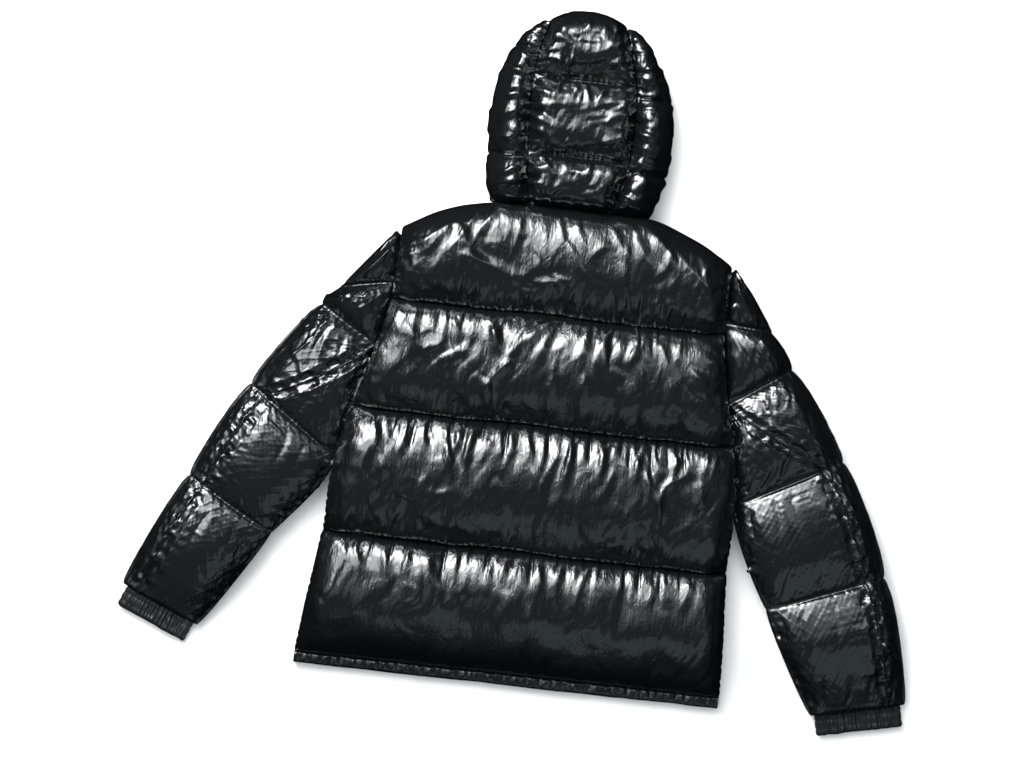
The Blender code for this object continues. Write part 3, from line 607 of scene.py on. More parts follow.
BACK_CREASES = (
    # the large folds
    (-148, 656, -98, 572, -4, 10, 6), (-150, 652, -216, 596, 5, 10, 5), (-150, 604, -46, 572, 5, 8, 4.4),
    (-44, 576, 36, 590, -4, 7, 3.8), (4, 640, 36, 578, 5, 6, 4.4), (96, 652, 102, 560, -4, 6, 3.6),
    (156, 646, 138, 588, 5, 7, 4.6), (206, 630, 222, 578, -8, 7, 4.4), (72, 640, 40, 606, -4, 7, 3.6),
    (22, 531, -48, 460, -9, 7, 7.5), (-44, 466, -88, 402, -7, 7, 7), (10, 528, -58, 452, -10, 4, 3.6),
    (-84, 508, -74, 462, 4, 8, 5.5), (-140, 515, -126, 462, 4, 5, 4), (80, 520, 86, 452, -4, 7, 4.8),
    (128, 524, 102, 462, 5, 6, 4.2), (150, 516, 184, 400, 6, 8, 4.8), (196, 480, 226, 420, 7, 8, 5),
    (10, 470, 4, 404, 3, 6, 3.6), (54, 460, 48, 400, 3, 6, 3.4), (-196, 470, -170, 400, -5, 8, 3.6),
    (-130, 340, -118, 270, 5, 7, 5), (36, 345, 8, 262, -6, 7, 4.6), (-10, 320, 24, 240, 5, 7, 4.2),
    (150, 340, 196, 262, -7, 8, 5.2), (110, 330, 84, 270, 5, 7, 4.2), (-60, 300, -30, 236, 4, 7, 3.4),
    (230, 330, 250, 262, -5, 8, 4.6), (-230, 330, -206, 262, 5, 8, 4),
    # yoke
    (-118, 672, -168, 590, 6, 7, 4), (-86, 676, -128, 600, -5, 6, 3.6), (-60, 674, -72, 596, 6, 6, 3),
    (-150, 655, -196, 590, 5, 7, 3.4), (-8, 676, 6, 606, 4, 5, 2.8), (22, 676, 40, 620, -4, 5, 2.6),
    (60, 676, 92, 604, 6, 6, 3.2), (96, 676, 138, 600, -4, 6, 3), (118, 668, 176, 596, 6, 6, 3.2),
    (150, 655, 214, 592, -4, 6, 2.6), (-30, 536, -44, 588, 4, 5, 3), (14, 536, 24, 596, -4, 5, 3.2),
    (44, 536, 60, 590, 4, 5, 3), (92, 536, 84, 584, -4, 5, 2.6), (-120, 536, -112, 580, 4, 5, 2.4),
    (160, 536, 178, 586, 4, 6, 2.6),
    # second baffle
    (-186, 530, -176, 440, -8, 8, 4.2), (-150, 530, -156, 462, 5, 6, 3.2), (-96, 530, -66, 436, 8, 8, 4.6),
    (-58, 530, -84, 466, -5, 6, 3.4), (-22, 530, -62, 424, -9, 8, 5), (18, 530, -18, 446, -6, 7, 4.2),
    (52, 530, 36, 462, 5, 6, 3.4), (92, 530, 66, 444, -7, 7, 4), (136, 530, 116, 470, 4, 6, 3),
    (184, 530, 168, 462, 5, 6, 2.8), (214, 380, 196, 440, 5, 7, 3.2), (150, 378, 142, 432, 4, 6, 3.2),
    (100, 378, 112, 424, -4, 6, 3), (20, 378, 8, 424, 4, 6, 3), (-60, 378, -48, 420, 4, 6, 2.8),
    # third baffle, the sharpest gathers
    (-238, 370, -226, 300, 6, 6, 4.6), (-214, 370, -206, 322, -4, 5, 4), (-186, 370, -198, 306, 5, 6, 4.6),
    (-160, 370, -150, 312, -5, 5, 4.2), (-136, 370, -128, 284, 6, 6, 5.4), (-112, 370, -120, 316, 4, 5, 4),
    (-88, 370, -96, 276, -6, 6, 5.4), (-62, 370, -52, 318, 4, 5, 4), (-40, 370, -48, 300, 5, 6, 4.4),
    (-14, 370, -2, 316, -4, 5, 4.2), (8, 370, 0, 292, 5, 6, 5), (34, 370, 50, 308, 5, 5, 4.6),
    (56, 370, 46, 272, -7, 6, 5.6), (82, 370, 92, 312, 4, 5, 4.2), (104, 370, 92, 290, -6, 6, 5),
    (130, 370, 142, 304, 5, 5, 4.4), (154, 370, 140, 300, -5, 6, 4.4), (182, 370, 198, 320, 4, 5, 3.8),
    (206, 370, 192, 292, -6, 6, 4.4), (236, 370, 226, 316, 5, 5, 4), (258, 372, 244, 296, -6, 7, 4.6),
    # lowest baffle
    (-272, 190, -236, 128, 6, 8, 4.4), (-240, 190, -214, 132, -5, 7, 4), (-206, 190, -190, 110, 6, 8, 4.4),
    (-168, 190, -172, 132, 4, 6, 3.6), (-136, 190, -118, 120, -6, 7, 4.2),
    (-96, 190, -104, 140, 4, 6, 3.4), (-60, 190, -50, 124, 5, 7, 3.8), (-22, 190, -30, 138, -4, 6, 3.4),
    (14, 190, 22, 130, 5, 6, 3.6), (48, 190, 40, 140, 4, 6, 3.2), (92, 190, 78, 118, -6, 7, 3.8),
    (136, 190, 128, 140, 4, 6, 3.2), (184, 190, 170, 128, 5, 6, 3.4), (232, 190, 214, 126, 6, 7, 3.6),
    (-262, 22, -250, 60, 4, 6, 2.8), (-150, 22, -142, 52, 4, 6, 2.4), (60, 22, 70, 56, 4, 6, 2.4),
    (200, 22, 208, 60, 4, 6, 2.6),
)


def build_body_panel(name, shares, side, creases, seed, gather):
    """One quilted panel of the body. Gives the lines of points along its cross stitches."""
    upper = side == 0
    baffle, t = baffle_rows(4, ROWS)
    x, y, side_y, half, u = body_grid(shares, side, baffle, t)
    b, tt = baffle[:, None] + 0 * x.astype(int), t[:, None] + 0 * x
    rise, full = body_shape(u, b, tt, side_y, half, not upper)
    broad, narrow = field(x / 0.085, y / 0.075, seed), field(x / 0.045 + 0.4 * y / 0.05, y / 0.06, seed + 8)
    full = np.clip(full * (0.96 + (0.13 * broad + 0.10 * narrow)), 0, 1.2)
    middle = middle_of_body(side_y)
    if upper:  # each baffle hangs over the stitch line under it
        sag = np.exp(-(((tt - 0.045) / 0.045) ** 2)) * smooth(tt / 0.02) * (b > 0)
        sag = OVERHANG * sag * smooth((1 - np.abs(u)) * half / 0.03)
        y = y - sag * (1 + 0.4 * field(x / 0.05, y, seed + 12))
    last = np.abs(np.abs(u) - 1) < 1e-9
    x = x - np.where(last, np.sign(u) * GAP, 0)
    if upper:
        base_z = middle + SLIT
        z = base_z + STITCHED + BACK_RISE * rise + BACK_LOFT * full
        low = base_z + STITCHED * 0.6 + BACK_RISE * rise * 0.3
        high = z * 0 + middle + 0.062
        lining = base_z + BACK_RISE * rise * 0.5
    else:
        top = middle - SLIT
        stitched = FRONT_RISE * rise * np.minimum(1.0, (top - STITCHED) / (FRONT_RISE + 0.003))
        z = np.maximum(0, top - STITCHED - stitched - FRONT_LOFT * full)
        low, high = z * 0, top - STITCHED * 0.8
        lining = top - stitched * 0.5
    P = np.stack([x, y, z], axis=2)
    lines = (HEM_Y, *STITCH_YS)
    to_stitch = np.minimum(near_lines(y, lines), np.where(b == 3, (1 - tt) * 0.15, 1.0))
    to_side = np.minimum((1 - np.abs(u)) * half, 1.0)
    # stitch lines wander a little, and pucker
    wander = noise((1, x.shape[1]), 34, seed + 1)[0] * 0.0016
    pucker = noise((1, x.shape[1]), 6, seed + 2)[0] * 0.0011
    near = np.exp(-to_stitch / 0.006) * (to_stitch < 0.15)
    inside = within(tt, 8)
    P[..., 1] += wander[None, :] * np.exp(-to_stitch / 0.03) * (b > 0) * smooth(to_side / 0.03)
    P[..., 2] -= (0.5 if upper else -0.4) * np.abs(pucker)[None, :] * near * smooth(to_side / 0.02)
    top_gather, bottom_gather, crumple = (np.array(column(BAFFLES, c))[b] for c in Baffle._fields)
    amount = gather * (bottom_gather + (top_gather - bottom_gather) * smooth(tt * 2 - 0.5))
    amount = amount * (1 + 0.7 * field(x / 0.05, y / 0.25, seed + 3))
    gather_u = 1 + np.clip(amount, 0.01, 0.4) * np.exp(-to_stitch / 0.024)
    gather_v = 1 + 0.12 * np.exp(-to_side / 0.022) * (1 + 0.5 * noise(x.shape, 40, seed + 4, 14))
    free = np.ones(x.shape)
    stitched_rows = np.arange(0, 4 * ROWS + 1, ROWS)
    free[stitched_rows] = 0
    free[:, 0] = free[:, -1] = 0
    envelope = np.exp(-to_stitch / 0.035) * inside + 0.12
    patch = crumple * (0.8 + 0.6 * field(x / 0.06, y / 0.06, seed + 9))
    bumps = envelope * patch * (0.0020 * noise(x.shape, 9, seed + 5, 44)
                                + 0.0010 * noise(x.shape, 5, seed + 6, 26))
    close = np.exp(-to_stitch / 0.040)
    folds = close * folded(x, y, STITCH_FOLDS, seed + 20) + (1 - close) * folded(x, y, OPEN_FOLDS, seed + 40)
    folds = folds * np.clip(patch, 0.3, 2)
    bumps += folds * inside
    out = 1 if upper else -1
    lift = crease_lift(P, creases) * inside
    seeds = at_height(np.zeros(P.shape), out * (bumps * free + lift * free))
    solved = settle(P, seeds, free, gather_u, gather_v, out, low, high)
    drawn_in = np.exp(-to_side / 0.016) * smooth(to_side / 0.003) * (b > 0) * upper
    rungs = BODY_RUNGS * drawn_in * noise(x.shape, 9, seed + 14, 4)
    solved[..., 2] += out * (0.6 * lift + 1.1 * folds * inside + rungs) * free
    if not upper:
        solved[..., 2] = np.clip(solved[..., 2], low, high)
    inner = at_height(P, lining)
    add_pad(name, body_nylon, 0.75, solved, inner[:, 0], inner[:, -1], inner[0], inner[-1])
    return solved[stitched_rows[1:-1]]


back_us = np.sin(np.linspace(-1, 1, BACK_COLUMNS + 1) * math.pi / 2 * 0.86) / math.sin(math.pi / 2 * 0.86)
back_us[0], back_us[-1] = -1.0, 1.0
stitch_lines = list(build_body_panel("back", back_us, 0, BACK_CREASES, 11, 1.0))
front_shares = np.sin(np.linspace(0, 1, FRONT_COLUMNS + 1) * math.pi / 2)
for side, word in ((-1, "left"), (1, "right")):
    build_body_panel(f"front_{word}", front_shares, side, (), 40 + side, 0.7)


# ------------------------------------------------------------ hem
def build_hem(name, start, end, upper, seed):
    """A narrow bound strip, its cloth drawn up in small gathers by the seam above it."""
    count = 480 if upper else 160
    xs = start + (end - start) * np.arange(count + 1) / count
    across = np.linspace(0, 1, 11)
    y = HEM_Y * across[:, None] + 0 * xs
    middle = float(middle_of_body(HEM_Y))
    sign = 1 if upper else -1
    puff = np.sqrt(np.maximum(0, 1 - np.abs(2 * across - 1) ** 3))[:, None]
    thick = (0.0055 if upper else middle - SLIT) * (0.35 + 0.65 * puff)
    gathers = noise(y.shape, 5, seed, 9) + 0.6 * noise(y.shape, 3, seed + 1, 7)
    pucker = (0.0009 if upper else 0.0) * gathers * (0.35 + across[:, None]) * puff
    sway = 0.0007 * noise(y.shape, 22, seed + 2, 40)
    z = middle + sign * (SLIT + thick + pucker)
    y = y + sway * (across[:, None] < 0.6)
    P = np.stack([body_centre(y) + xs, y, z], axis=2)
    P[..., 2] = np.clip(P[..., 2], 0, None)
    inner = at_height(P, middle + sign * SLIT)
    mesh = padded_mesh(name, P, inner[:, 0], inner[:, -1], inner[0], inner[-1])
    obj = add(name + "_bound", mesh, body_nylon, name)


hem_half = float(body_half(HEM_Y))
build_hem("hem_back", -hem_half, hem_half, True, 61)
build_hem("hem_left", -hem_half, -ZIP_HALF, False, 64)
build_hem("hem_right", ZIP_HALF, hem_half, False, 67)


# ------------------------------------------------------------ sleeves
def sleeve_ends(stations, side, where):
    """Plan positions of a sleeve's outer and inner edge at those rows, and its seam's share of the way."""
    ks = np.arange(len(stations))
    outer = np.stack([through(ks, column(stations, c), where) for c in ("outer_x", "outer_y")], axis=1)
    inner_ys = column(stations, "inner_y")
    inner_y = through(ks, inner_ys, where)
    on_armhole = body_centre(inner_y) + side * (body_half(inner_y) + GAP)
    xs = [float(body_centre(s.inner_y) + side * body_half(s.inner_y)) if s.inner_x is None else s.inner_x
          for s in stations]
    inner_x = np.where(where <= ARMPIT_STATION, on_armhole, through(ks, xs, where))
    inner = np.stack([inner_x, inner_y], axis=1)
    t = where - np.minimum(np.floor(where), len(stations) - 2)
    along = inner - outer
    along /= np.linalg.norm(along, axis=1, keepdims=True)
    bulge = (SLEEVE_BULGE * swell(t))[:, None]
    outer = outer - along * bulge
    inner = inner + along * bulge * 0.6 * (where > ARMPIT_STATION)[:, None]
    seam = np.interp(where, ks, column(stations, "seam"))
    return outer, inner, seam


def sleeve_rows(stations, first=0):
    """Rows of the sleeve: the station's number plus the share of the way to the next."""
    last = len(stations) - 1
    steps = [k + np.arange(SLEEVE_ROWS[k]) / SLEEVE_ROWS[k] for k in range(first, last)]
    return np.append(np.concatenate(steps), last)


def sleeve_surface(stations, side, where, share, layer):
    """Points of the sleeve's outer face, for rows (n) and shares (n, m) of the way from the outer to the
    inner end. layer is 1 on the upper side, and -1 on the side that lies on the surface."""
    outer, inner, seam = sleeve_ends(stations, side, where)
    length = np.linalg.norm(inner - outer, axis=1)[:, None]
    w = where[:, None]
    k = np.minimum(np.floor(w), len(stations) - 2)
    t = w - k
    middle = MID + (HEM_MID - MID) * smooth((w - (len(stations) - 2) - 0.3) / 0.7)
    to_outer, to_inner = share * length, (1 - share) * length
    hold = 1 - smooth((w - ARMPIT_STATION + 0.25) / 0.25)
    hold = hold * np.where(k == 0, smooth(t / 0.4), 1)
    bank = np.sqrt(1 - (1 - np.clip(to_inner / INNER_BANK, 0, 1)) ** 2)
    rise = smooth(to_outer / 0.03) * (hold + (1 - hold) * bank)
    outer_reach, inner_reach = np.minimum(OUTER_REACH, length * 0.49), np.minimum(INNER_REACH, length * 0.49)
    full = swell(t) * shoulder_edge(to_outer, outer_reach) * shoulder_edge(to_inner, inner_reach)
    full = full * np.where(k == 0, 0.8, 1)
    edge = np.sqrt(np.clip(to_outer / 0.006, 0, 1))
    if layer > 0:
        s = seam[:, None]
        dip = 0.74 + 0.26 * smooth(np.abs(share - s) * length / 0.016)
        full = full * np.where(s < 1, dip, 1)
        z = middle + edge * (SLIT + STITCHED) + SLEEVE_RISE * rise + SLEEVE_LOFT * full
    else:
        stitched = SLEEVE_RISE * rise * np.minimum(
            1.0, np.maximum(0.0, middle - SLIT - STITCHED) / (SLEEVE_RISE + 0.003))
        z = np.maximum(0.0, middle - edge * (SLIT + STITCHED) - stitched - FRONT_LOFT * full)
    place = outer[:, None, :] + (inner - outer)[:, None, :] * share[..., None]
    return np.concatenate([place, z[..., None]], axis=2), middle, length, t


SLEEVE_CREASES = {
    "left": (
        # the gathered head and the two short bands
        (-296, 548, -286, 590, 3, 4, 3), (-280, 550, -262, 600, -3, 4, 3),
        (-262, 552, -244, 606, 3, 4, 3.2), (-246, 553, -236, 610, -3, 4, 3),
        (-300, 542, -304, 516, 2, 4, 2.6), (-284, 548, -290, 500, 3, 4, 3),
        (-264, 550, -272, 486, -3, 4, 3.2), (-248, 550, -258, 474, 3, 4, 3),
        # elbow baffle: long folds fanning down from the armhole
        (-322, 506, -352, 452, 5, 5, 4), (-304, 492, -338, 424, -5, 5, 4.2),
        (-286, 478, -318, 396, 6, 6, 4.6), (-268, 462, -310, 384, -6, 6, 4.2),
        (-254, 452, -282, 366, 6, 6, 4.4), (-340, 478, -362, 440, 3, 4, 3.2),
        (-398, 384, -378, 420, 4, 5, 3.6), (-374, 362, -352, 402, -4, 5, 3.6),
        (-346, 342, -322, 384, 4, 5, 3.4),
        # lower baffles
        (-404, 380, -436, 318, 5, 6, 3.6), (-382, 362, -408, 296, -5, 6, 3.8),
        (-352, 340, -372, 272, 5, 6, 3.6), (-322, 322, -338, 262, -4, 6, 3.2),
        (-468, 232, -452, 284, 4, 5, 3.4), (-440, 214, -420, 270, -5, 6, 3.8),
        (-408, 194, -386, 246, 5, 6, 3.6), (-474, 226, -500, 168, 5, 6, 3.8),
        (-446, 208, -476, 142, -5, 7, 4.2), (-414, 190, -440, 120, 6, 7, 3.8),
        (-388, 178, -412, 118, -4, 6, 3.2), (-556, 82, -540, 128, 4, 5, 3.2),
        (-530, 68, -512, 116, -4, 5, 3.4), (-500, 54, -482, 100, 4, 5, 3.2),
    ),
    "right": (
        (262, 540, 262, 596, 3, 4, 3.2), (280, 540, 284, 584, -3, 4, 3), (300, 540, 302, 568, 3, 4, 2.8),
        (270, 520, 276, 472, 3, 4, 3.4), (290, 520, 300, 468, -3, 4, 3.2), (310, 518, 326, 474, 3, 4, 3),
        (266, 438, 296, 396, 4, 5, 4.2), (276, 430, 312, 372, -4, 5, 4.4), (288, 412, 330, 366, 4, 5, 4.2),
        (340, 480, 352, 424, 5, 5, 4), (320, 470, 336, 402, -5, 5, 4.2), (300, 456, 322, 392, 5, 5, 4),
        (372, 440, 388, 396, 4, 5, 3.6), (300, 306, 316, 352, 4, 5, 4), (322, 318, 340, 366, -4, 5, 4),
        (350, 332, 362, 380, 4, 5, 3.6), (392, 350, 400, 392, -4, 5, 3.2), (306, 302, 330, 232, -6, 7, 5),
        (334, 318, 352, 242, 6, 6, 4.6), (362, 334, 392, 250, -6, 7, 4.6), (400, 350, 424, 282, 5, 6, 3.8),
        (366, 160, 372, 214, 4, 6, 3.6), (414, 176, 420, 236, -5, 6, 3.8), (462, 196, 470, 250, 4, 6, 3.4),
        (364, 146, 380, 92, 5, 6, 3.6), (396, 158, 416, 84, -6, 7, 4), (436, 172, 452, 98, 5, 6, 3.8),
        (480, 190, 496, 128, -5, 6, 3.4), (448, 14, 440, 70, 4, 5, 3.4), (478, 22, 474, 76, -4, 5, 3.4),
        (512, 28, 512, 80, 4, 5, 3.2), (542, 34, 540, 82, -4, 5, 3),
    ),
}


def settle_on_rows(P, where, stations, top, outward, seed, creases, middle):
    """Settles a sleeve's cloth, pinned along its stitch lines and its long edges. top is 1 on the upper side,
    -1 on the lower side, column by column."""
    n, m = P.shape[:2]
    k = np.minimum(np.floor(where), len(stations) - 2)
    t = (where - k)[:, None] + np.zeros((1, m))
    free = np.ones((n, m))
    stitched = np.isclose(where, np.round(where))
    free[stitched] = 0
    free[:, 0] = free[:, -1] = 0
    step = np.linalg.norm(np.diff(P[:, m // 2], axis=0), axis=1)
    arc = np.append(0, np.cumsum(step))
    stops = arc[stitched]
    to_stitch = np.min(np.abs(arc[:, None] - stops[None, :]), axis=1)[:, None] + np.zeros((1, m))
    widths = np.linalg.norm(np.diff(P, axis=1), axis=2)
    from_start = np.concatenate([np.zeros((n, 1)), np.cumsum(widths, axis=1)], axis=1)
    to_edge = np.minimum(from_start, from_start[:, -1:] - from_start)
    inside = within(t, 7)
    amount = SLEEVE_GATHER * (1 + 0.6 * noise((n, m), 10, seed, 60))
    gather_u = 1 + np.clip(amount, 0.01, 0.4) * np.exp(-to_stitch / 0.020)
    gather_v = 1 + 0.06 * np.exp(-to_edge / 0.014) * (1 + 0.5 * noise((n, m), 40, seed + 1, 8))
    envelope = np.exp(-to_stitch / 0.022) * inside + 0.06
    ladder = np.exp(-to_edge / 0.016) * smooth(to_edge / 0.003)
    bumps = envelope * (0.0014 * noise((n, m), 7, seed + 2, 34) + 0.0006 * noise((n, m), 4, seed + 3, 20))
    bumps += ladder * 0.0011 * noise((n, m), 12, seed + 4, 6)
    x, y = P[..., 0], P[..., 1]
    turn = 0.55 * np.sign(x.mean())
    crumpled = 0.3 + 0.6 * np.exp(-to_stitch / 0.020) * smooth(field(x / 0.05, y / 0.05, seed + 9) + 0.6)
    crumpled = crumpled + 0.8 * smooth((y - 0.36) / 0.08) * smooth((0.53 - y) / 0.06)
    folds = inside * crumpled * folded(x, y, SLEEVE_FOLDS, seed + 20, turn)
    bumps += folds
    near = np.exp(-to_stitch / 0.005)
    P = P.copy()
    pucker = 0.0004 * np.abs(noise((1, m), 3, seed + 6)[0])
    P[..., 2] -= np.where(top > 0, 1, -0.3) * pucker * near * (to_edge > 0.006)
    P[..., 2] = np.maximum(P[..., 2], 0)
    facing = normals(P, outward)
    lift = 0.65 * crease_lift(P, creases) * inside * (top > 0) * smooth(to_edge / 0.012)
    seeds = facing * ((bumps + lift) * free)[..., None]
    mid = middle + np.zeros((1, m))
    low = np.where(top > 0, mid + 0.001, 0.0)
    high = np.where(top > 0, mid + 0.050, mid + 0.001)
    rounded = np.abs(top) < 0.5
    low, high = np.where(rounded, 0.0, low), np.where(rounded, mid + 0.05, high)
    solved = settle(P, seeds, free, gather_u, gather_v, outward, low, high, push=0.00003,
                    bend=(0.12, 0.08, 0.05), keep=0.010, side_cap=0.004)
    rungs = SLEEVE_RUNGS * ladder * noise((n, m), 9, seed + 8, 3) * (np.abs(top) > 0.5)
    solved += facing * ((0.5 * lift + 0.6 * folds + rungs) * free)[..., None]
    return solved


def facing_up(rows, over, under, past=4):
    """1 on the columns over a fold, -1 on those under it, and 0 close to it."""
    top = np.repeat((1.0, -1.0), (over, under))[None, :] + np.zeros((rows, 1))
    top[:, over - 3 : over + past] = 0
    return top


def crossed(where):
    """The rows that lie on a sleeve's cross stitches."""
    return np.flatnonzero(np.isclose(where, np.round(where)))[1:-1]


def build_sleeve(stations, side, word, seed):
    """A sleeve's two panels. Keeps the lines of points along their cross stitches."""
    # the upper sleeve: from the back-arm seam round the outline, and across the whole underside
    where = sleeve_rows(stations)
    outer, inner, seam = sleeve_ends(stations, side, where)
    length = np.linalg.norm(inner - outer, axis=1)[:, None]
    over, under = SLEEVE_OVER, SLEEVE_UNDER
    start = np.where(seam == 1, 1.0, seam - GAP / length[:, 0])[:, None]
    over_shares = start * (1 - np.arange(over)[None, :] / over) ** 1.5
    under_shares = (np.arange(under + 1)[None, :] / under) ** 1.5 + 0 * start
    upper_part, middle, _, _ = sleeve_surface(stations, side, where, over_shares, 1)
    lower_part, _, _, _ = sleeve_surface(stations, side, where, under_shares, -1)
    P = np.concatenate([upper_part, lower_part], axis=1)
    top = facing_up(len(where), over, under + 1)
    solved = settle_on_rows(P, where, stations, top, side, seed, SLEEVE_CREASES[word], middle)
    fold = np.minimum(FOLD_WALL / length[:, 0], 0.4)
    inner_share = fold + (1 - fold) * start[:, 0]
    first = outer + (inner - outer) * inner_share[:, None]
    starts = np.concatenate([first, middle + 0.002], axis=1)
    ends = np.concatenate([inner, middle - SLIT], axis=1)
    firsts = solved[0].copy()
    firsts[:, 2] = np.clip(firsts[:, 2], middle[0] - 0.002, middle[0] + 0.002)
    lasts = solved[-1].copy()
    centre = lasts.mean(axis=0)
    lasts[:, :2] = centre[:2] + (lasts[:, :2] - centre[:2]) * 0.97
    lasts[:, 2] = middle[-1] + (lasts[:, 2] - middle[-1]) * 0.3
    name = f"sleeve_{word}_upper"
    add_pad(name, sleeve_nylon, 0.7, solved, starts, ends, firsts, lasts)
    stitch_lines.extend(solved[crossed(where), :over])

    # the under sleeve: between the back-arm seam and the inseam
    where = sleeve_rows(stations, FIRST_UNDER)
    where = where[where > FIRST_UNDER + 0.1]
    where = where[(len(where) - 1) % 4 :]
    outer, inner, seam = sleeve_ends(stations, side, where)
    length = np.linalg.norm(inner - outer, axis=1)[:, None]
    start = (seam + GAP / length[:, 0])[:, None]
    count = UNDER_SLEEVE_COLUMNS
    s = np.arange(count + 1)[None, :] / count
    s = 0.5 - 0.5 * np.cos(s * math.pi * 0.9 + 0.05 * math.pi)
    s = (s - s[:, :1]) / (s[:, -1:] - s[:, :1])
    P, middle, _, _ = sleeve_surface(stations, side, where, start + (1 - start) * s, 1)
    top = np.ones(P.shape[:2])
    solved = settle_on_rows(P, where, stations, top, -side, seed + 20, SLEEVE_CREASES[word], middle)
    lining = at_height(P, middle + SLIT + 0.001)
    name = f"sleeve_{word}_under"
    add_pad(name, sleeve_nylon, 0.7, solved, lining[:, 0], lining[:, -1], lining[0], lining[-1])
    stitch_lines.extend(solved[crossed(where)])


SLEEVES = ((-1, SLEEVE_LEFT, "left"), (1, SLEEVE_RIGHT, "right"))
for side, stations, word in SLEEVES:
    build_sleeve(stations, side, word, 100 + 50 * side)


# ------------------------------------------------------------ cuffs
def build_cuff(stations, side, word, seed):
    """A flattened elastic tube: close ribs, drawn in along two lines of stitching."""
    outer, inner, _ = sleeve_ends(stations, side, np.array([len(stations) - 1.0]))
    outer, inner = outer[0], inner[0]
    across = (inner - outer) / np.linalg.norm(inner - outer)
    along = np.array([across[1], -across[0]])
    along = along if along[1] < 0 else -along
    half = np.linalg.norm(inner - outer) / 2 - CUFF_INSET
    centre = (outer + inner) / 2
    ribs, rows = 336, 14
    angle = np.arange(ribs) / ribs * 2 * math.pi
    c, s = np.cos(angle), np.sin(angle)
    sweep = np.sign(c) * np.abs(c) ** 0.85
    lift = np.sign(s) * np.abs(s) ** 0.7
    v = np.linspace(0, 1, rows + 1)[:, None]
    phase = (np.arange(ribs) / ribs * 62 + 0.9 * noise((1, ribs), 11, seed)[0]) * 2 * math.pi
    rib = 0.5 + 0.5 * np.cos(phase)
    draw = 1 - 0.55 * sum(np.exp(-(((v - at) / 0.05) ** 2)) for at in (0.30, 0.68))
    depth = (0.0026 * (1 - rib)[None, :]) * draw * (0.7 + 0.3 * noise((1, ribs), 17, seed + 1)[0])
    depth = depth + 0.0013 * sum(np.exp(-(((v - at) / 0.045) ** 2)) for at in (0.30, 0.68))
    depth = depth + 0.0006 * (noise((rows + 1, ribs), 4, seed + 2, 5) + 1)
    round_end = 0.0022 * (np.abs(2 * v - 1) ** 10)
    depth = np.clip(depth + round_end, 0, 0.004)
    reach = GAP + (CUFF_LENGTH - GAP) * v + 0.0006 * noise((1, ribs), 9, seed + 3)[0] * v
    rings = []
    for inset in (depth, CUFF_WALL + 0 * depth):
        place = centre + across * (sweep * (half - inset))[..., None] + along * reach[..., None]
        z = CUFF_HEIGHT / 2 + lift * (CUFF_HEIGHT / 2 - inset)
        rings.append(np.concatenate([place, np.maximum(z, 0)[..., None]], axis=2) + SHIFT)
    points = np.concatenate([g.reshape(-1, 3) for g in rings])
    n, m = rows + 1, ribs
    index = np.arange(2 * n * m).reshape(2, n, m)
    nxt = np.roll(index, -1, axis=2)
    faces = []
    for g in (0, 1):
        quads = np.stack([index[g, :-1], nxt[g, :-1], nxt[g, 1:], index[g, 1:]], axis=-1)
        faces += (quads.reshape(-1, 4) if g == 0 else quads.reshape(-1, 4)[:, ::-1]).tolist()
    for r, flip in ((0, False), (n - 1, True)):
        rim = np.stack([index[0, r], index[1, r], nxt[1, r], nxt[0, r]], axis=-1)
        faces += (rim[:, ::-1] if flip else rim).tolist()
    name = f"cuff_{word}"
    mesh = with_faces_outward(mesh_from(name, points, faces))
    obj = add(name + "_elastic", mesh, cuff_nylon, name)


for side, stations, word in SLEEVES:
    build_cuff(stations, side, word, 200 + side)

# ------------------------------------------------------------ hood
HOOD_CREASES = (
    # the star of folds beside the upper stitch line, and the folds that fall from the seams
    (-20, 872, 6, 838, 3, 4, 4), (-20, 872, 22, 856, -3, 4, 3.6), (-20, 872, -34, 836, 3, 4, 3.6),
    (-20, 872, -46, 862, -3, 4, 3.2), (-20, 872, -2, 908, 3, 4, 3.8), (-20, 872, -38, 904, -3, 4, 3.4),
    (-64, 846, -18, 822, 5, 5, 4.4), (-68, 822, -14, 792, -5, 5, 4.6), (-68, 796, -24, 776, 4, 5, 3.8),
    (84, 852, 42, 822, 5, 5, 4.4), (86, 826, 34, 802, -5, 5, 4.4), (84, 800, 30, 780, 4, 5, 4),
    (82, 780, 48, 768, -4, 4, 3.4), (8, 862, 18, 812, 4, 5, 3.6), (44, 862, 30, 814, -4, 5, 3.4),
    (-54, 894, -14, 884, 3, 4, 3.4), (70, 896, 34, 888, -3, 4, 3.4), (-44, 928, 2, 898, 4, 5, 3.8),
    (66, 926, 22, 902, -4, 5, 3.8), (20, 930, 24, 892, 3, 5, 3.2), (-40, 936, -16, 952, 3, 4, 3),
    (48, 936, 28, 954, -3, 4, 3), (10, 936, 8, 956, 3, 4, 3), (-70, 748, -36, 730, 4, 4, 4),
    (-66, 730, -30, 712, -4, 4, 3.8), (-40, 752, -22, 716, 4, 4, 3.2), (86, 748, 52, 726, 4, 4, 4),
    (80, 726, 40, 712, -4, 4, 3.6), (30, 752, 22, 722, 3, 4, 3),
    # the sides
    (-66, 880, -88, 908, 3, 4, 3.8), (-70, 860, -98, 872, -3, 4, 3.8), (-74, 838, -104, 836, 3, 4, 4),
    (-74, 812, -106, 802, -3, 4, 3.8), (-72, 786, -100, 772, 3, 4, 3.6), (-64, 742, -98, 722, 3, 4, 3.8),
    (-58, 718, -92, 706, -3, 4, 3.4), (94, 884, 112, 906, 3, 4, 3.6), (96, 852, 120, 866, -3, 4, 4),
    (92, 832, 122, 832, 3, 4, 4), (90, 806, 122, 792, -3, 4, 3.8), (90, 782, 118, 770, 3, 4, 3.6),
    (86, 744, 116, 726, 3, 4, 4), (78, 716, 106, 704, -3, 4, 3.4),
)


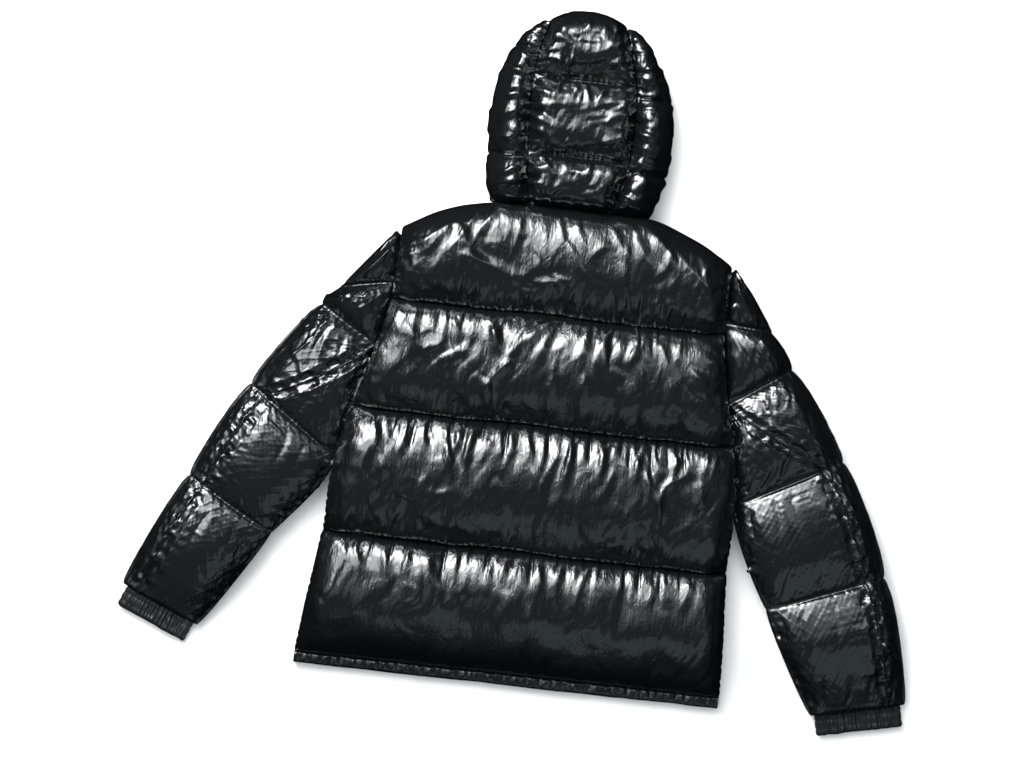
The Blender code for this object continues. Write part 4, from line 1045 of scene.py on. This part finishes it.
def hood_value(name, y):
    return profile(HOOD_ROWS, "y", name, np.minimum(y, HOOD_ROWS[-1].y))


def hood_middle(y):
    return MID + (HOOD_MID - MID) * smooth((y - NECK_Y) / 0.06)


def hood_path(stitch_ys, top, each):
    """Heights up the hood in plan, with each baffle's share t, and the stitched rows."""
    edges = np.array((HOOD_BASE_Y, *stitch_ys, top))
    ys, ts, stitched = [], [], []
    for b in range(len(edges) - 1):
        count = each[b]
        for k in range(count):
            ys.append(edges[b] + (edges[b + 1] - edges[b]) * k / count)
            ts.append(k / count)
            stitched.append(k == 0)
    return np.array(ys + [edges[-1]]), np.array(ts + [1.0]), np.array(stitched + [True])


def hood_top_z(y, full, seam_distance, edge_distance):
    """Heights of the hood's upper side. full is how filled each point is, from 0 to 1."""
    rise = smooth(edge_distance / 0.03)
    full = HOOD_SEAM_FULL + (full - HOOD_SEAM_FULL) * smooth(seam_distance / 0.020)
    full = full * shoulder_edge(edge_distance, 0.05) * smooth((y - HOOD_BASE_Y) / 0.012)
    edge = np.sqrt(np.clip(edge_distance / 0.006, 0, 1))
    return hood_middle(y) + edge * (SLIT + STITCHED) + HOOD_RISE * rise + HOOD_LOFT * full


def hood_low_z(y, full, edge):
    return np.maximum(0.0, hood_middle(y) - edge * (SLIT + STITCHED + 0.006) - 0.034 * full)


def settle_hood(P, stitched, top, seam_distance, along_rows, outward, seed, t):
    """Settles a hood panel's cloth, pinned along its stitch lines and its edges. The stitches run along the
    grid's rows, or else down its columns."""
    n, m = P.shape[:2]
    free = np.ones((n, m))
    free[(stitched, slice(None)) if along_rows else (slice(None), stitched)] = 0
    free[0] = free[-1] = 0
    free[:, 0] = free[:, -1] = 0
    inside = within(t, 6)
    close = np.exp(-seam_distance / 0.020)
    cells = (5, 16) if along_rows else (16, 5)
    gather_across = 1 + 0.10 * (1 - inside) * (1 + 0.5 * noise((n, m), 6, seed, 6))
    gather_along = 1 + 0.22 * close * (1 + 0.5 * noise((n, m), 6, seed + 1, 6))
    bumps = (0.4 + 0.6 * close) * 0.0016 * noise((n, m), cells[1], seed + 2, cells[0])
    bumps += (1 - inside) * 0.0012 * noise((n, m), cells[0], seed + 3, cells[1])
    x, y = P[..., 0], P[..., 1]
    folds = folded(x, y, HOOD_FOLDS, seed + 20) * within(t, 8)
    bumps += folds
    facing = normals(P, outward)
    lift = crease_lift(P, HOOD_CREASES) * within(t, 9) * (top > 0)
    seeds = facing * ((bumps + lift) * free)[..., None]
    mid = hood_middle(P[..., 1])
    low = np.where(top > 0.5, mid + 0.001, 0.0)
    high = np.where(top < -0.5, mid + 0.001, mid + 0.052)
    gu, gv = (gather_across, gather_along) if along_rows else (gather_along, gather_across)
    solved = settle(P, seeds, free, gu, gv, outward, low, high, push=0.00003, side_cap=0.0018)
    drawn = np.exp(-seam_distance / 0.011) * smooth(seam_distance / 0.002)
    rungs = noise((n, m), 12, seed + 7, 3) if along_rows else noise((n, m), 3, seed + 7, 12)
    solved += facing * ((0.9 * lift + 1.3 * folds + HOOD_RUNGS * drawn * rungs) * free)[..., None]
    solved[..., 2] -= 0.5 * np.maximum(0, solved[..., 2] - HOOD_CEILING)
    return solved


def hood_lining(solved, drop, reach):
    """The lining's points behind a panel's first and last column and row: the last column's lie drop under
    the middle of the hood, and the rows' lie within reach of it."""
    middle = hood_middle(solved[..., 1])
    near = at_height(solved, middle + np.clip(solved[..., 2] - middle, -reach, reach))
    return (at_height(solved[:, 0], middle[:, 0] + 0.001), at_height(solved[:, -1], middle[:, -1] - drop),
            near[0], near[-1])


def build_hood_centre():
    """The hood's middle panel, from the neck over the crown and under it to the forehead."""
    ys, ts, stitched = hood_path(HOOD_STITCH_YS, HOOD_TOP_Y, (32, 44, 44))
    columns = 72
    share = np.linspace(-1, 1, columns + 1)[:, None]
    last = ys > HOOD_STITCH_YS[-1]
    seam_ys = np.where(last, HOOD_STITCH_YS[-1] + (HOOD_ROWS[-1].y - HOOD_STITCH_YS[-1]) * ts, ys)
    half = hood_value("seam", seam_ys)[None, :] - GAP
    x = share * half
    outline = HOOD_TOP_Y - CROWN_DROP * (np.abs(x) / CROWN_HALF) ** 2.2
    low = HOOD_STITCH_YS[-1]
    y = np.where(last[None, :], low + (outline - low) * ts[None, :], ys[None, :])
    seam_distance = (1 - np.abs(share)) * half
    edge = np.where(last[None, :], outline - y, 1.0)
    full = np.where(last, swell(ts * 0.5), swell(ts))[None, :] * 0.68 + 0.27 + 0 * x
    z = hood_top_z(y, full, seam_distance, edge)
    top_part = np.stack([hood_value("x", y) + x, y, z], axis=2)
    count = 36
    tt = (np.arange(1, count + 1) / count)[None, :]
    x2 = share * (CROWN_HALF - GAP) + 0 * tt
    top_y = HOOD_TOP_Y - CROWN_DROP * (np.abs(x2) / CROWN_HALF) ** 2.2
    y2 = top_y + (FOREHEAD_Y - top_y) * tt
    puff = 0.75 * smooth(tt / 0.25) * (1 - 0.7 * smooth((tt - 0.8) / 0.2))
    puff = puff * (0.4 + 0.6 * smooth((1 - np.abs(share)) / 0.2))
    z2 = hood_low_z(y2, puff, np.sqrt(np.clip(tt / 0.15, 0, 1)))
    low_part = np.stack([hood_value("x", y2) + x2, y2, z2], axis=2)
    P = np.concatenate([top_part, low_part], axis=1)
    t = np.concatenate([ts, tt[0] * 0.9 + 0.05])[None, :] + np.zeros((columns + 1, 1))
    top = facing_up(columns + 1, len(ys), count, past=3)
    lines = np.concatenate([stitched, np.zeros(count, bool)])
    lines[len(ys) - 1] = False
    distance = (1 - np.abs(share)) * 0.07 + 0 * t
    solved = settle_hood(P, lines, top, distance, False, -1, 301, t)
    starts, ends, firsts, lasts = hood_lining(solved, 0.004, 0.003)
    for rim in (firsts, lasts):
        rim[:, 1] = np.minimum(rim[:, 1], rim[:, 1].max() - 0.004)
    add_pad("hood_centre", hood_nylon, 0.7, solved, starts, ends, firsts, lasts)


def build_hood_side(side, word):
    """A side of the hood, from its seam round the outline and under it to the face opening."""
    ys, ts, stitched = hood_path(HOOD_SIDE_STITCH_YS[side], HOOD_ROWS[-1].y, (36, 48, 44))
    last = ys > HOOD_SIDE_STITCH_YS[side][-1]
    y = ys[:, None]
    half, seam, brim = (hood_value(c, y) for c in ("half", "seam", "brim"))
    half = np.maximum(half, seam + 0.006)
    fold = np.minimum(FOLD_WALL, (half - seam) * 0.5)
    brim = np.minimum(brim, half - fold - 0.003)
    over, under = 44, 40
    s = np.sin(np.arange(over) / over * math.pi / 2)[None, :]
    x1 = seam + GAP + (half - seam - GAP) * s
    baffle_full = np.where(last, swell(ts * 0.5), swell(ts))[:, None]
    soft = 0.40 + 0.60 * baffle_full
    z1 = hood_top_z(y, soft * 0.95, (half - seam) * s, np.minimum(half - x1, 0.958 - y))
    s2 = (1 - np.cos(np.arange(under + 1) / under * math.pi / 2))[None, :]
    x2 = half + (brim - half) * s2
    puff = soft * 0.9 * smooth(s2 / 0.12) * (1 - 0.5 * smooth((s2 - 0.85) / 0.15))
    z2 = hood_low_z(y, puff, np.sqrt(np.clip(s2 / 0.05, 0, 1)))
    x = np.concatenate([x1, x2], axis=1)
    z = np.concatenate([z1, z2], axis=1)
    yy = y + 0 * x
    P = np.stack([hood_value("x", yy) + side * x, yy, z], axis=2)
    top = facing_up(len(ys), over, under + 1)
    t = ts[:, None] + 0 * x
    widths = np.linalg.norm(np.diff(P, axis=1), axis=2)
    distance = np.concatenate([np.zeros((len(ys), 1)), np.cumsum(widths, axis=1)], axis=1)
    solved = settle_hood(P, stitched, top, distance, True, side, 320 + 7 * side, t)
    starts, ends, firsts, lasts = hood_lining(solved, 0.003, 0.002)
    starts[:, 0] += side * 0.002
    add_pad(f"hood_{word}", hood_nylon, 0.7, solved, starts, ends, firsts, lasts)


build_hood_centre()
build_hood_side(-1, "left")
build_hood_side(1, "right")

# ------------------------------------------------------------ zip
ZIP_LOOKS = {"zip_tape_left": tape_cloth, "zip_tape_right": tape_cloth, "zip_chain": black_metal,
             "zip_box": black_metal, "zip_slider": black_metal, "zip_pull": black_metal}
for name, look in ZIP_LOOKS.items():
    for material_slot in frame["nodes"][name].material_slots:
        material_slot.material = look


def zip_height(y):
    """The middle of the zip's tape, which follows the stitched edges of the fronts."""
    middle = middle_of_body(y) - SLIT
    return middle - FRONT_RISE * np.minimum(1.0, (middle - STITCHED) / (FRONT_RISE + 0.003)) - STITCHED / 2


def boxes_mesh(name, centres, ways, sizes):
    """Many small blocks with narrowed ends: centres and ways (n, 3), sizes (along, across, high)."""
    corners = ((-1, -1), (1, -1), (1, 1), (-1, 1))
    slices = ((-1, 0.6), (-0.6, 1), (0.6, 1), (1, 0.6))  # place along the block, and share of its width
    shape = np.array([(at, a * share, b * share) for at, share in slices for a, b in corners])
    quads = [[3, 2, 1, 0], [12, 13, 14, 15]]
    for ring in (0, 4, 8):
        quads += [[ring + k, ring + (k + 1) % 4, ring + 4 + (k + 1) % 4, ring + 4 + k] for k in range(4)]
    ways = ways / np.linalg.norm(ways, axis=1, keepdims=True)
    side = np.cross(ways, (0, 0, 1.0))
    side /= np.linalg.norm(side, axis=1, keepdims=True)
    up = np.cross(side, ways)
    half = np.asarray(sizes) / 2
    points = centres[:, None, :]
    for k, way in enumerate((ways, side, up)):
        points = points + way[:, None, :] * shape[None, :, k : k + 1] * half[k]
    faces = [[16 * k + i for i in q] for k in range(len(centres)) for q in quads]
    return with_faces_outward(mesh_from(name, points.reshape(-1, 3), faces))


CHAIN_START, ZIP_TOP_Y, TOOTH_PITCH = 0.0123, 0.676, 0.0029
TOOTH_SIZE = (0.0042, 0.0021, 0.0024)
STITCH_PITCH, STITCH_SIZE = 0.0042, (0.0030, 0.0006, 0.0006)
teeth_y = np.arange(CHAIN_START + 0.001, ZIP_TOP_Y - 0.001, TOOTH_PITCH)
teeth_side = np.where(np.arange(len(teeth_y)) % 2, 1, -1)
teeth = np.stack([body_centre(teeth_y) + teeth_side * 0.0009, teeth_y,
                  zip_height(np.maximum(teeth_y, 0.03)) - 0.0006 - GAP - 0.0012], axis=1) + SHIFT
add("zip_teeth", boxes_mesh("zip_teeth", teeth, np.tile((1.0, 0, 0), (len(teeth), 1)), TOOTH_SIZE),
    black_metal, "zip_chain")


def stitch_along(line):
    """Centres and directions of the stitches along a line of points."""
    steps = np.linalg.norm(np.diff(line, axis=0), axis=1)
    arc = np.append(0, np.cumsum(steps))
    at = np.arange(STITCH_PITCH, arc[-1] - STITCH_PITCH, STITCH_PITCH)
    place = np.stack([np.interp(at, arc, line[:, k]) for k in range(3)], axis=1)
    ahead = np.stack([np.interp(at + 0.001, arc, line[:, k]) for k in range(3)], axis=1)
    return place + (0, 0, 0.00015), ahead - place


centres, ways = (np.concatenate(v) for v in zip(*(stitch_along(line + SHIFT) for line in stitch_lines)))
add("quilting_stitches", boxes_mesh("stitches", centres, ways, STITCH_SIZE), thread)

# ------------------------------------------------------------ camera, light and floor
PHOTO_TILT = math.radians(6.3)  # the jacket lies turned by this much in the picture
VIEW_WIDTH = 1.454
LENS = 85.0
VIEW_CENTRE = np.array([-0.0455, 0.4303]) + SHIFT[:2]

camera_data = bpy.data.cameras.new("camera")
camera_data.lens = LENS
camera_data.sensor_width = 36.0
camera = bpy.data.objects.new("camera", camera_data)
camera.location = (VIEW_CENTRE[0], VIEW_CENTRE[1], VIEW_WIDTH * LENS / 36.0 + 0.04)
camera.rotation_euler = (0, 0, PHOTO_TILT)
bpy.context.scene.collection.objects.link(camera)
bpy.context.scene.camera = camera

FLOOR_REACH = 40.0
corners = [(x * FLOOR_REACH, y * FLOOR_REACH, 0.0) for x, y in ((-1, -1), (1, -1), (1, 1), (-1, 1))]
floor = bpy.data.objects.new("floor", mesh_from("floor", corners, [(0, 1, 2, 3)]))
floor.location.z = -0.0005
floor_look = new_material("floor", Base_Color=(0.92, 0.92, 0.92, 1), Roughness=0.9)[0]
floor.data.materials.append(floor_look)
bpy.context.scene.collection.objects.link(floor)
floor.visible_glossy = False


def softbox(name, place, size, power, colour=(1, 1, 1), glossy=True, target=(0, 0.05, 0.04)):
    """An area light aimed at the jacket. Where it isn't glossy, it lights but isn't reflected."""
    data = bpy.data.lights.new(name, "AREA")
    data.shape = "RECTANGLE"
    data.size, data.size_y = size
    data.energy = power
    data.color = colour
    obj = bpy.data.objects.new(name, data)
    obj.location = place
    obj.rotation_euler = (Vector(target) - Vector(place)).to_track_quat("-Z", "Y").to_euler()
    obj.visible_glossy = glossy
    bpy.context.scene.collection.objects.link(obj)


softbox("key", (-0.80, 1.15, 1.05), (1.0, 0.8), 44)
softbox("over", (-0.75, 1.05, 1.60), (2.0, 1.3), 44, target=(-0.1, 0.1, 0.04))
softbox("low", (0.7, -1.4, 1.5), (2.2, 0.9), 2.4, (0.72, 0.95, 1.0))
softbox("sheen", (0.9, 0.9, 1.9), (1.0, 0.8), 3.0, (0.75, 0.92, 1.0))
softbox("room", (0, 0, 3.2), (4.5, 4.5), 80, glossy=False)

# the room: dark, and paler towards the hood
world = bpy.data.worlds.new("world")
bpy.context.scene.world = world
world.use_nodes = True
tree = world.node_tree
direction = node(tree, "TexCoord").outputs["Generated"]
towards = node(tree, "VectorMath", operation="DOT_PRODUCT")
towards.inputs[1].default_value = (-0.48, 0.62, 0.62)
tree.links.new(direction, towards.inputs[0])
height = node(tree, "SeparateXYZ", Vector=direction).outputs["Z"]
glow = node(tree, "MapRange", interpolation_type="SMOOTHSTEP", Value=towards.outputs["Value"],
            From_Min=0.52, From_Max=0.98, To_Min=0.11, To_Max=1.3)
horizon = node(tree, "MapRange", Value=height, From_Min=0.1, From_Max=0.6, To_Min=0.02)
background = tree.nodes["Background"]
background.inputs["Color"].default_value = (0.90, 0.97, 1.0, 1)
power = math_node(tree, "MULTIPLY", glow.outputs["Result"], horizon.outputs["Result"])
tree.links.new(power, background.inputs["Strength"])
bpy.context.scene.view_settings.view_transform = "Standard"
